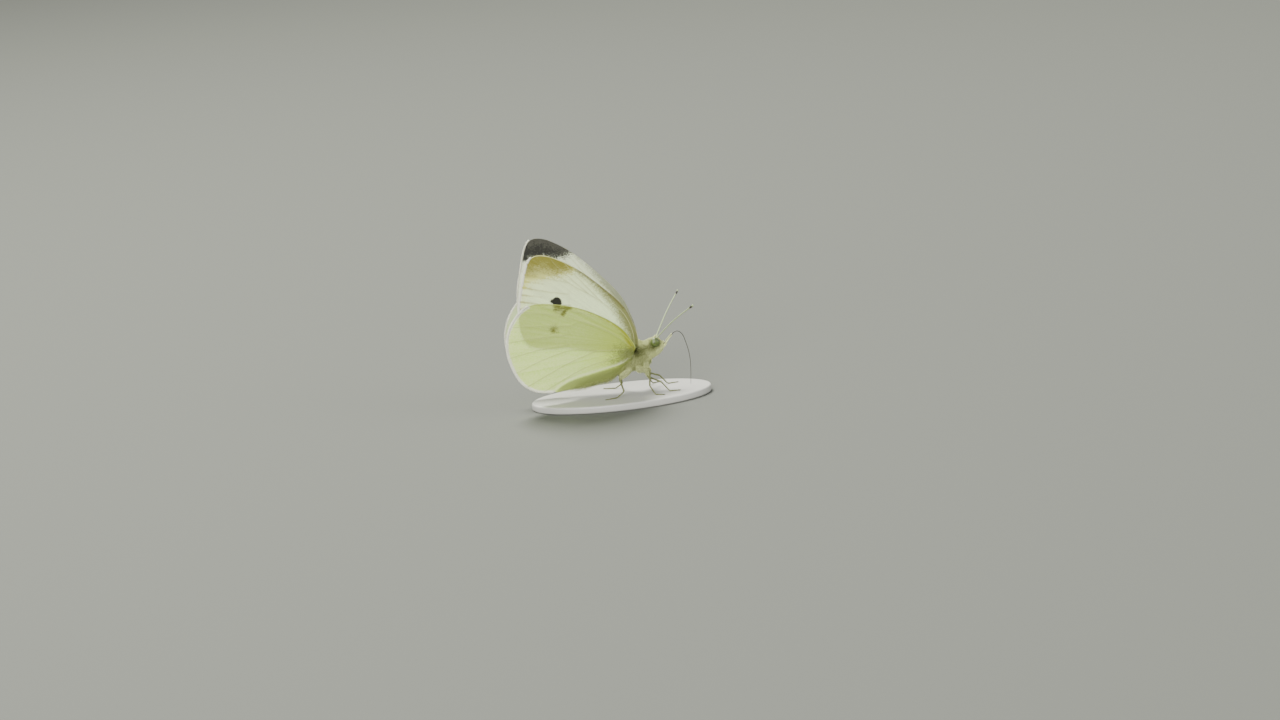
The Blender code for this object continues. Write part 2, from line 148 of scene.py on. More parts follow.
# (share of the axis from tail to face, half width, half height) of the skin, inside the coat
SKIN_PROFILE = (
    (0.0, 0.06, 0.07), (0.006, 0.3, 0.34), (0.03, 0.62, 0.72), (0.08, 0.86, 1.0), (0.2, 1.04, 1.22),
    (0.34, 1.04, 1.22), (0.46, 0.84, 1.0), (0.505, 0.66, 0.82), (0.54, 0.9, 1.25), (0.6, 1.14, 1.8),
    (0.66, 1.22, 2.02), (0.73, 1.16, 2.05), (0.775, 1.0, 1.78), (0.81, 0.78, 1.36), (0.84, 0.78, 1.18),
    (0.885, 0.85, 1.08), (0.925, 0.8, 0.92), (0.955, 0.58, 0.66), (0.975, 0.34, 0.4), (0.986, 0.05, 0.06),
)
NECK_SHARE = 0.815
CROWN_SHARE = 0.945             # where the tuft between the antennae stands
WING_ROOT_SPOT = (-0.1, -0.45)  # forward and up: the middle of the dark patch at the wing roots, partly dark scales and partly painted shade under the hinges
NECK_CREASE_SHADE = ((2.3, 0.0, -0.3), (1.4, 0.0, -0.22), (0.2, 0.0, -0.6))   # painted shade along the fold behind the cheek
WAIST_SHARE = 0.505
BODY_RINGS = 150
BODY_SIDES = 56
ABDOMEN_RINGS = 8               # segments of the abdomen
EYE_PLACE = Vector((2.93, 0.82, 0.43))
EYE_RADIUS = 0.78
EYE_BULGE = 0.55
PALP = ((3.7, 0.3, -0.75), (4.35, 0.46, -0.35), (4.85, 0.58, 0.35), (5.3, 0.62, 0.85), (5.8, 0.64, 1.35))
PALP_RADII = (0.14, 0.14, 0.1, 0.075, 0.04)
LEGS = {
    "front": ((1.2, 0.35, -2.0), (1.05, 0.7, -3.0), (1.15, 1.8, -5.0), (3.2, 2.6, -5.9),
              (4.4, 2.9, -7.5), (6.1, 3.2, -7.5)),
    "middle": ((-0.2, 0.4, -2.8), (-0.25, 0.95, -3.8), (1.6, 2.5, -3.6), (1.2, 3.8, -6.1),
               (2.0, 4.4, -7.5), (3.4, 5.3, -7.5)),
    "hind": ((-1.7, 0.4, -2.8), (-1.9, 0.95, -3.8), (-3.6, 2.1, -4.75), (-3.1, 3.2, -6.7),
             (-4.3, 3.7, -7.5), (-6.2, 4.4, -7.5)),
}
LEG_RADII = (0.42, 0.3, 0.13, 0.1, 0.085, 0.06)   # at the same points
FEMUR_SWELL = 1.5
ANTENNA_ROOT = Vector((3.15, 0.45, 1.0))
ANTENNA_TIPS = {"left": (7.86, 7.3, 7.2), "right": (9.55, 7.3, 7.24)}
ANTENNA_BOW = 0.35
ANTENNA_SEGMENTS = 36
PROBOSCIS = (
    (3.9, -0.55), (4.5, 0.05), (5.2, 0.75), (5.9, 1.4), (6.5, 1.78), (7.0, 1.72), (7.5, 1.3),
    (7.8, 0.65), (8.2, -0.95), (8.42, -2.4), (8.45, -4.2), (8.15, -7.45),
)


def linear(hex_colour):
    """Turn an sRGB hex colour into linear RGB."""
    channels = [int(hex_colour[i:i + 2], 16) / 255 for i in (0, 2, 4)]
    return [c / 12.92 if c <= 0.04045 else ((c + 0.055) / 1.055) ** 2.4 for c in channels]


def colour_property(name, hex_colour, description):
    """A colour that a user may change, given as sRGB hex."""
    return FloatVectorProperty(name=name, description=description, subtype="COLOR", size=3,
                               min=0.0, max=1.0, default=linear(hex_colour))


def length_property(name, millimetres, description):
    """A length that a user may change, given in millimetres."""
    return FloatProperty(name=name, description=description, subtype="DISTANCE", unit="LENGTH",
                         default=millimetres * MM, precision=6)


class ButterflySizes(bpy.types.PropertyGroup):
    """Sizes of the fine parts that the solids leave out."""
    wing_thickness: length_property("Wing thickness", 0.1, "Thickness of a wing between its veins")
    vein_radius: length_property("Vein radius", 0.06, "Radius of a vein where it leaves the hinge")
    fringe_length: length_property("Fringe length", 0.28, "Length of the scales along the outer margins")
    hair_length: length_property("Hair length", 0.85, "Longest hair, on the thorax")
    antenna_radius: length_property("Antenna radius", 0.112, "Radius of an antenna's shaft")
    club_radius: length_property("Club radius", 0.2, "Radius of an antenna's club")
    proboscis_radius: length_property("Proboscis radius", 0.085, "Radius of the proboscis")
    seed: IntProperty(name="Seed", description="Seed of every random choice", default=7)


class ButterflyColours(bpy.types.PropertyGroup):
    """Colours of scales, hair, horn and stand."""
    under_white: colour_property("Underside white", "ebf6cf", "Ground colour under the forewing")
    under_yellow: colour_property("Underside yellow", "eaf7b2", "Ground colour under the hindwing")
    under_tip: colour_property("Underside tip", "91892f", "Patch under the forewing's tip")
    upper_white: colour_property("Upperside white", "eaf0da", "Ground colour above")
    upper_tip: colour_property("Upperside tip", "1c1a16", "Dark patch above the forewing's tip")
    spot: colour_property("Spot", "1d1a16", "The round dark spots")
    dusting: colour_property("Dusting", "5f663d", "Dark scales near the wing roots")
    root_yellow: colour_property("Root yellow", "aeb02f", "Deep yellow at the hindwing's front edge")
    fringe: colour_property("Fringe", "fbfdee", "Scales along the outer margins")
    vein: colour_property("Vein", "c2c590", "Veins, above and below")
    hair_pale: colour_property("Pale hair", "e8eeab", "Hair of the head, breast and sides")
    hair_dark: colour_property("Dark hair", "7b8048", "Hair of the back")
    skin: colour_property("Skin", "6b6d40", "Horny skin under the hair")
    eye: colour_property("Eye", "4c5a23", "Facets of the eye")
    antenna_pale: colour_property("Antenna pale", "8f9c72", "Pale scales of the antennae")
    antenna_dark: colour_property("Antenna dark", "2b2620", "Dark rings and club")
    proboscis: colour_property("Proboscis", "3b342c", "Horn of the proboscis")
    plate: colour_property("Plate", "a9a8a2", "Satin lacquer of the display plate")
    floor: colour_property("Floor", "4f514b", "Studio floor")


# ---------------------------------------------------------------- lines and grids
def smooth_line(knots, steps=SMOOTH_STEPS):
    """Return a dense smooth line through the knots, with steps points for each stretch."""
    knots = [Vector(knot).to_3d() for knot in knots]
    last = len(knots) - 1
    line = [knots[0]]
    for i in range(last):
        start, end = knots[i], knots[i + 1]
        reach = (end - start).length / 3
        leave = (end - knots[max(i - 1, 0)]).normalized() * reach
        arrive = (knots[min(i + 2, last)] - start).normalized() * reach
        line += interpolate_bezier(start, start + leave, end - arrive, end, steps + 1)[1:]
    return np.array([tuple(point) for point in line])


def along(line, shares):
    """Return the points at shares of a dense line's length."""
    gone = np.concatenate(([0.0], np.cumsum(np.linalg.norm(np.diff(line, axis=0), axis=1))))
    return np.stack([np.interp(np.asarray(shares) * gone[-1], gone, line[:, k]) for k in range(3)], axis=-1)


def unit(vectors):
    """Scale vectors to length one."""
    return vectors / np.maximum(np.linalg.norm(vectors, axis=-1, keepdims=True), 1e-9)


def line_length(line):
    """The length of a dense line."""
    return float(np.linalg.norm(np.diff(line, axis=0), axis=1).sum())


def gap_to_line(points, line):
    """The distance of each point from a dense line."""
    nearest = np.full(points.shape[:-1], 1e9)
    for start, end in zip(line[:-1], line[1:]):
        step = end - start
        share = np.clip(((points - start) @ step) / max(step @ step, 1e-12), 0, 1)
        nearest = np.minimum(nearest, np.linalg.norm(points - start - share[..., None] * step, axis=-1))
    return nearest


def grid_faces(rows, columns, start=0, wrap=False):
    """Quads that join a grid of vertices, row by row."""
    wide = columns if wrap else columns - 1
    return [(start + j * columns + i, start + j * columns + (i + 1) % columns,
             start + (j + 1) * columns + (i + 1) % columns, start + (j + 1) * columns + i)
            for j in range(rows - 1) for i in range(wide)]


def capped_faces(rings, sides):
    """Quads between closed rings of vertices, and a fan at each end to the two poles that come last."""
    low, last = rings * sides, (rings - 1) * sides
    fans = [((i + 1) % sides, i, low) for i in range(sides)]
    fans += [(last + i, last + (i + 1) % sides, low + 1) for i in range(sides)]
    return grid_faces(rings, sides, wrap=True) + fans


class Tube:
    """A closed tube round a line: its rings, its frame at each ring and its unrolled places."""

    def __init__(self, line, widths, heights=None, sides=16, level=False):
        self.line = np.asarray(line, float)
        forward = unit(np.gradient(self.line, axis=0))
        across = np.zeros_like(forward)
        if level:
            across[:] = (0, 1, 0)
        else:
            guess = np.cross((0.0, 0.0, 1.0), forward[0])
            if np.linalg.norm(guess) < 0.05:
                guess = np.array((0.0, 1.0, 0.0))
            for i, direction in enumerate(forward):
                guess = guess - direction * (guess @ direction)
                guess = guess / np.linalg.norm(guess)
                across[i] = guess
        self.forward = forward
        self.across = across
        self.up = np.cross(forward, across)
        self.shares = np.concatenate(([0.0], np.cumsum(np.linalg.norm(np.diff(self.line, axis=0), axis=1))))
        self.length = self.shares[-1]
        self.shares = self.shares / self.length
        widths = np.asarray(widths, float)
        heights = widths if heights is None else np.asarray(heights, float)
        self.widths = widths
        self.heights = heights
        turn = np.linspace(0, 2 * math.pi, sides, endpoint=False)
        rings = (self.line[:, None] + across[:, None] * (widths[:, None] * np.cos(turn))[..., None]
                 + self.up[:, None] * (heights[:, None] * np.sin(turn))[..., None])
        self.points = np.concatenate((rings.reshape(-1, 3), self.line[:1], self.line[-1:]))
        self.faces = capped_faces(len(self.line), sides)

    def unroll(self, points):
        """Return the share of length, the angle round the tube and the ring of points near it."""
        near = np.empty(len(points), int)
        for start in range(0, len(points), 2000):
            part = points[start:start + 2000]
            near[start:start + 2000] = ((part[:, None] - self.line[None]) ** 2).sum(-1).argmin(1)
        offset = points - self.line[near]
        share = self.shares[near] + (offset * self.forward[near]).sum(-1) / self.length
        angle = np.arctan2((offset * self.up[near]).sum(-1), (offset * self.across[near]).sum(-1))
        return np.clip(share, 0, 1), angle, near


def join_tubes(tubes):
    """The points and the faces of several tubes, as for one mesh."""
    points, faces = [], []
    for tube in tubes:
        faces += [tuple(v + len(points) for v in face) for face in tube.faces]
        points += tube.points.tolist()
    return points, faces


# ---------------------------------------------------------------- meshes, materials, node trees
NODE_FAMILIES = ("GeometryNode", "FunctionNode", "NodeGroup")     # any other kind is a shader node
RGBA = {"data_type": "RGBA"}
FLOAT = {"data_type": "FLOAT"}
VECTOR = {"data_type": "FLOAT_VECTOR"}
MULTIPLY_ADD = {"operation": "MULTIPLY_ADD"}
Z_THEN_Y = {"primary_axis": "Z", "secondary_axis": "Y"}


def add_node(tree, kind, settings=None, values=None, links=None):
    """Add a node with its settings, the values of its free sockets and the links into the others.

    A link gives a socket, or a node whose first output it comes from.
    """
    made = tree.nodes.new(kind if kind.startswith(NODE_FAMILIES) else "ShaderNode" + kind)
    for key, value in (settings or {}).items():
        setattr(made, key, value)
    for key, value in (values or {}).items():
        made.inputs[key].default_value = value
    for key, source in (links or {}).items():
        socket = source.outputs[0] if isinstance(source, bpy.types.Node) else source
        tree.links.new(socket, made.inputs[key])
    return made


def new_material(name):
    """An empty node material and its tree."""
    material = bpy.data.materials.new(name)
    material.use_nodes = True
    material.node_tree.nodes.clear()
    return material, material.node_tree


def with_surface(material, shader):
    """Give a material its finished shader."""
    add_node(material.node_tree, "OutputMaterial", {}, {}, {"Surface": shader})
    return material


def link_object(name, data):
    """Put a new object with this data in the scene."""
    made = bpy.data.objects.new(name, data)
    bpy.context.scene.collection.objects.link(made)
    return made


def make_object(name, points, faces, materials, values=None, material_index=None, edges=()):
    """A mesh object in millimetres, with float or vector attributes on its points."""
    mesh = bpy.data.meshes.new(name)
    mesh.from_pydata(np.asarray(points).tolist(), list(edges), faces)
    for material in materials:
        mesh.materials.append(material)
    if material_index is not None:
        mesh.polygons.foreach_set("material_index", np.asarray(material_index, np.int32))
    for key, value in (values or {}).items():
        set_values(mesh, key, value)
    mesh.polygons.foreach_set("use_smooth", np.ones(len(mesh.polygons), bool))
    return link_object(name, mesh)


def set_values(mesh, key, value):
    """Store one float or one vector on each point of a mesh."""
    value = np.asarray(value, np.float32)
    kind, field = ("FLOAT", "value") if value.ndim == 1 else ("FLOAT_VECTOR", "vector")
    mesh.attributes.new(key, kind, "POINT").data.foreach_set(field, value.ravel())


def mesh_points(mesh):
    """The place of each vertex of a mesh."""
    points = np.empty(len(mesh.vertices) * 3)
    mesh.vertices.foreach_get("co", points)
    return points.reshape(-1, 3)


def mesh_corners(mesh):
    """The vertex at each face corner of a mesh."""
    corners = np.empty(len(mesh.loops), np.int32)
    mesh.loops.foreach_get("vertex_index", corners)
    return corners


def set_uv(mesh, name, place):
    """Give a mesh a UV map from a place for each face corner."""
    mesh.uv_layers.new(name=name).data.foreach_set("uv", place.astype(np.float32).ravel())


def face_outwards(mesh):
    """Turn every closed shell's faces outwards."""
    bm = bmesh.new()
    bm.from_mesh(mesh)
    bm.normal_update()
    bmesh.ops.recalc_face_normals(bm, faces=bm.faces)
    bm.to_mesh(mesh)
    bm.free()


def make_shell(name, points, faces, materials, values=None, material_index=None):
    """A mesh object of closed shells, with every face outwards."""
    made = make_object(name, points, faces, materials, values, material_index)
    face_outwards(made.data)
    return made


def apply_modifiers(made):
    """Make an object's modifiers real, and keep its name."""
    bpy.context.view_layer.update()
    graph = bpy.context.evaluated_depsgraph_get()
    mesh = bpy.data.meshes.new_from_object(made.evaluated_get(graph), depsgraph=graph,
                                           preserve_all_data_layers=True)
    made.modifiers.clear()
    made.data = mesh
    mesh.name = made.name


def finish_piece(made, slot, *nodes):
    """Put a finished piece in place in metres, on the part's one body, in place of its solids."""
    made.data.transform(Matrix.Translation(HINGE) @ Matrix.Scale(MM, 4))
    made.data.update()
    if nodes:
        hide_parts(*nodes)
    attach(made, "root")
    return made


def new_tree(name, sockets):
    """An empty Geometry Nodes tree with its named inputs."""
    tree = bpy.data.node_groups.new(name, "GeometryNodeTree")
    tree.interface.new_socket(name="Geometry", in_out="INPUT", socket_type="NodeSocketGeometry")
    for label, kind in sockets:
        tree.interface.new_socket(name=label, in_out="INPUT", socket_type="NodeSocket" + kind)
    tree.interface.new_socket(name="Geometry", in_out="OUTPUT", socket_type="NodeSocketGeometry")
    return tree, add_node(tree, "NodeGroupInput"), add_node(tree, "NodeGroupOutput")


def run_tree(made, tree, inputs):
    """Run a Geometry Nodes tree on an object with inputs by label, and make the result a plain mesh."""
    modifier = made.modifiers.new(tree.name, "NODES")
    modifier.node_group = tree
    for item in tree.interface.items_tree:
        if item.in_out == "INPUT" and item.name in inputs:
            modifier[item.identifier] = inputs[item.name]
    apply_modifiers(made)


def end_tree(tree, given, result, geometry):
    """Give the finished geometry its material and send it out; return the tree."""
    finished = add_node(tree, "GeometryNodeSetMaterial", {}, {},
                        {"Geometry": geometry, "Material": given.outputs["Material"]})
    tree.links.new(finished.outputs[0], result.inputs[0])
    return tree


def get_tree(name, build):
    """Return the Geometry Nodes tree of that name, built once."""
    return bpy.data.node_groups.get(name) or build(name)


def build_tufts(name):
    """Blades scattered over a skin that lean from its normal towards the lie of the hair."""
    tree, given, result = new_tree(name, (
        ("Density", "Float"), ("Width", "Float"), ("Thickness", "Float"), ("Spread", "Float"),
        ("Blade", "Object"), ("Material", "Material"), ("Seed", "Int"), ("Patch", "Float")))
    amount = add_node(tree, "GeometryNodeInputNamedAttribute", FLOAT, {"Name": "amount"})
    density = add_node(tree, "Math", {"operation": "MULTIPLY"}, {},
                       {0: given.outputs["Density"], 1: amount.outputs["Attribute"]})
    scattered = add_node(tree, "GeometryNodeDistributePointsOnFaces", {"distribute_method": "RANDOM"}, {},
                         {"Mesh": given.outputs["Geometry"], "Density": density,
                          "Seed": given.outputs["Seed"]})
    lie = add_node(tree, "GeometryNodeInputNamedAttribute", VECTOR, {"Name": "lie"})
    lift = add_node(tree, "GeometryNodeInputNamedAttribute", FLOAT, {"Name": "lift"})
    length = add_node(tree, "GeometryNodeInputNamedAttribute", FLOAT, {"Name": "tuft"})
    stray = add_node(tree, "FunctionNodeRandomValue", VECTOR,
                     {0: (-1, -1, -1), 1: (1, 1, 1)}, {8: given.outputs["Seed"]})
    strayed = add_node(tree, "VectorMath", {"operation": "SCALE"}, {},
                       {0: stray, "Scale": given.outputs["Spread"]})
    raised = add_node(tree, "VectorMath", {"operation": "SCALE"}, {},
                      {0: scattered.outputs["Normal"], "Scale": lift.outputs["Attribute"]})
    leaning = add_node(tree, "VectorMath", {"operation": "ADD"}, {},
                       {0: lie.outputs["Attribute"], 1: raised})
    pointing = add_node(tree, "VectorMath", {"operation": "ADD"}, {},
                        {0: leaning, 1: strayed})
    turned = add_node(tree, "FunctionNodeAxesToRotation", Z_THEN_Y, {},
                      {"Primary Axis": pointing, "Secondary Axis": scattered.outputs["Normal"]})
    vary = add_node(tree, "FunctionNodeRandomValue", FLOAT, {2: 0.65, 3: 1.15},
                    {8: given.outputs["Seed"]})
    long = add_node(tree, "Math", {"operation": "MULTIPLY"}, {},
                    {0: length.outputs["Attribute"], 1: vary.outputs[1]})
    each = add_node(tree, "FunctionNodeRandomValue", FLOAT, {2: -0.5, 3: 0.5},
                    {8: given.outputs["Seed"]})
    marked = add_node(tree, "GeometryNodeStoreNamedAttribute", {"data_type": "FLOAT", "domain": "POINT"},
                      {"Name": "each"}, {"Geometry": scattered.outputs["Points"], "Value": each.outputs[1]})
    size = add_node(tree, "CombineXYZ", {}, {},
                    {"X": given.outputs["Width"], "Y": given.outputs["Thickness"], "Z": long})
    blade = add_node(tree, "GeometryNodeObjectInfo", {}, {}, {"Object": given.outputs["Blade"]})
    placed = add_node(tree, "GeometryNodeInstanceOnPoints", {}, {},
                      {"Points": marked, "Instance": blade.outputs["Geometry"],
                       "Rotation": turned, "Scale": size})
    real = add_node(tree, "GeometryNodeRealizeInstances", {}, {}, {"Geometry": placed})
    root = add_node(tree, "GeometryNodeInputNamedAttribute", VECTOR,
                    {"Name": "skin_place"})
    own = add_node(tree, "GeometryNodeInputNamedAttribute", VECTOR,
                   {"Name": "blade_place"})
    small = add_node(tree, "VectorMath", {"operation": "SCALE"}, {},
                     {0: own.outputs["Attribute"], "Scale": given.outputs["Patch"]})
    spot = add_node(tree, "VectorMath", {"operation": "ADD"}, {},
                    {0: root.outputs["Attribute"], 1: small})
    stored = add_node(tree, "GeometryNodeStoreNamedAttribute", {"data_type": "FLOAT2", "domain": "CORNER"},
                      {"Name": "OFBake"}, {"Geometry": real, "Value": spot})
    return end_tree(tree, given, result, stored)


def build_row(name):
    """Copies of one small piece set on points by their own 'along', 'facing' and 'size' values."""
    tree, given, result = new_tree(name, (("Piece", "Object"), ("Material", "Material")))
    values = [add_node(tree, "GeometryNodeInputNamedAttribute", VECTOR, {"Name": key})
              for key in ("along", "facing", "size")]
    turned = add_node(tree, "FunctionNodeAxesToRotation", Z_THEN_Y, {},
                      {"Primary Axis": values[0].outputs["Attribute"],
                       "Secondary Axis": values[1].outputs["Attribute"]})
    piece = add_node(tree, "GeometryNodeObjectInfo", {}, {}, {"Object": given.outputs["Piece"]})
    placed = add_node(tree, "GeometryNodeInstanceOnPoints", {}, {},
                      {"Points": given.outputs["Geometry"], "Instance": piece.outputs["Geometry"],
                       "Rotation": turned, "Scale": values[2].outputs["Attribute"]})
    real = add_node(tree, "GeometryNodeRealizeInstances", {}, {}, {"Geometry": placed})
    return end_tree(tree, given, result, real)


def build_ribs(name):
    """Round ribs along every chain of edges, as thick as the 'radius' value of its points."""
    tree, given, result = new_tree(name, (("Sides", "Int"), ("Material", "Material")))
    radius = add_node(tree, "GeometryNodeInputNamedAttribute", FLOAT, {"Name": "radius"})
    curve = add_node(tree, "GeometryNodeMeshToCurve", {}, {}, {"Mesh": given.outputs["Geometry"]})
    sized = add_node(tree, "GeometryNodeSetCurveRadius", {}, {},
                     {"Curve": curve, "Radius": radius.outputs["Attribute"]})
    section = add_node(tree, "GeometryNodeCurvePrimitiveCircle", {"mode": "RADIUS"}, {"Radius": 1.0},
                       {"Resolution": given.outputs["Sides"]})
    tube = add_node(tree, "GeometryNodeCurveToMesh", {}, {"Fill Caps": True},
                    {"Curve": sized, "Profile Curve": section,
                     "Scale": radius.outputs["Attribute"]})
    real = add_node(tree, "GeometryNodeRealizeInstances", {}, {}, {"Geometry": tube})
    return end_tree(tree, given, result, real)


# ---------------------------------------------------------------- wings: shape
FRINGE_INSET = 0.18             # mm of each outer margin that is fringe and not membrane
MEMBRANE_SAG = 0.045            # mm that the membrane sinks between its veins
SHEET_UV = 60.0                 # mm of wing across the whole of its UV map
FOREWING_GRID = (104, 160)
HINDWING_GRID = (96, 144)
FOLD_GRID = 26
TIP_UNDER = ((7.6, 17.6), (8.7, 16.2), (10.6, 16.25), (12.6, 16.3), (14.3, 16.2), (16.0, 16.0), (17.6, 15.4))
TIP_UPPER = ((7.4, 18.0), (8.9, 16.5), (10.3, 16.2), (11.6, 16.4), (13.5, 16.9), (15.2, 16.9), (16.4, 16.8),
             (17.6, 17.2))
# Painted shadow: a dark streak seen through the hindwing below the forewing's spot, as (back, up) points.
STREAK_SHADOW = ((12.4, 10.5), (11.2, 10.4), (9.9, 10.35), (10.7, 10.1), (11.4, 9.3))


def wing_axes(side):
    """Return a wing's backward, upward and outward directions; side is +1 left, -1 right."""
    droop, flare, lean = (math.radians(a) for a in (WING_DROOP, WING_FLARE, WING_LEAN))
    back = np.array((-math.cos(droop) * math.cos(flare), side * math.sin(flare),
                     -math.sin(droop) * math.cos(flare)))
    upright = np.array((-math.sin(droop), 0, math.cos(droop)))
    up = upright * math.cos(lean) + np.array((0, side * math.sin(lean), 0))
    up = unit(up - back * (up @ back))
    return back, up, np.cross(back, up) * side


def swung(flat, degrees):
    """Return the back and the up of (back, up) points turned about the hinge."""
    angle = math.radians(degrees)
    return (flat[..., 0] * math.cos(angle) - flat[..., 1] * math.sin(angle),
            flat[..., 0] * math.sin(angle) + flat[..., 1] * math.cos(angle))


def on_wing(flat, side, layer, swing=0.0, fold=0.0, height=0.0):
    """Return places in space of (back, up) points on a wing, with fold mm of sheet tucked in."""
    back, up, out = wing_axes(side)
    x, y = swung(flat, swing)
    swell = WING_CAMBER * np.sin(math.pi * np.minimum(np.hypot(x, y) / WING_REACH, 1.0))
    bend = math.radians(FOLD_ANGLE)
    round_part = np.minimum(fold, FOLD_ROUND)
    turn = bend * round_part / FOLD_ROUND
    drop = FOLD_ROUND / bend * np.sin(turn) + (fold - round_part) * math.cos(bend)
    tuck = FOLD_ROUND / bend * (1 - np.cos(turn)) + (fold - round_part) * math.sin(bend)
    lift = layer + swell - tuck + height
    return (np.array((0, side * HINGE_OFFSET, 0)) + x[..., None] * back
            + (y - drop)[..., None] * up + lift[..., None] * out)


def patch(lower, upper, inner, outer, shares):
    """Fill four edge lines with a grid of points that blends between them."""
    t = np.linspace(0, 1, shares.shape[0])[:, None, None]
    s = shares[..., None]
    edges = (along(lower, shares) * (1 - t) + along(upper, shares) * t
             + along(inner, t[:, 0, 0])[:, None] * (1 - s) + along(outer, t[:, 0, 0])[:, None] * s)
    corners = (lower[0] * (1 - s) + lower[-1] * s) * (1 - t) + (upper[0] * (1 - s) + upper[-1] * s) * t
    return edges - corners


def inset_shares(inner, outer, rows, columns):
    """Shares across each row that stop short of the outer margin by the fringe."""
    t = np.linspace(0, 1, rows)
    widths = np.linalg.norm(along(outer, t) - along(inner, t), axis=1)
    return np.linspace(0, 1, columns)[None] * (1 - FRINGE_INSET / widths)[:, None]


def in_spot(back, up, x, y, along_radius, across_radius):
    """How deep in an oval spot each point lies: 1 at its middle, 0 at its rim."""
    return 1 - np.hypot((back - x) / along_radius, (up - y) / across_radius)


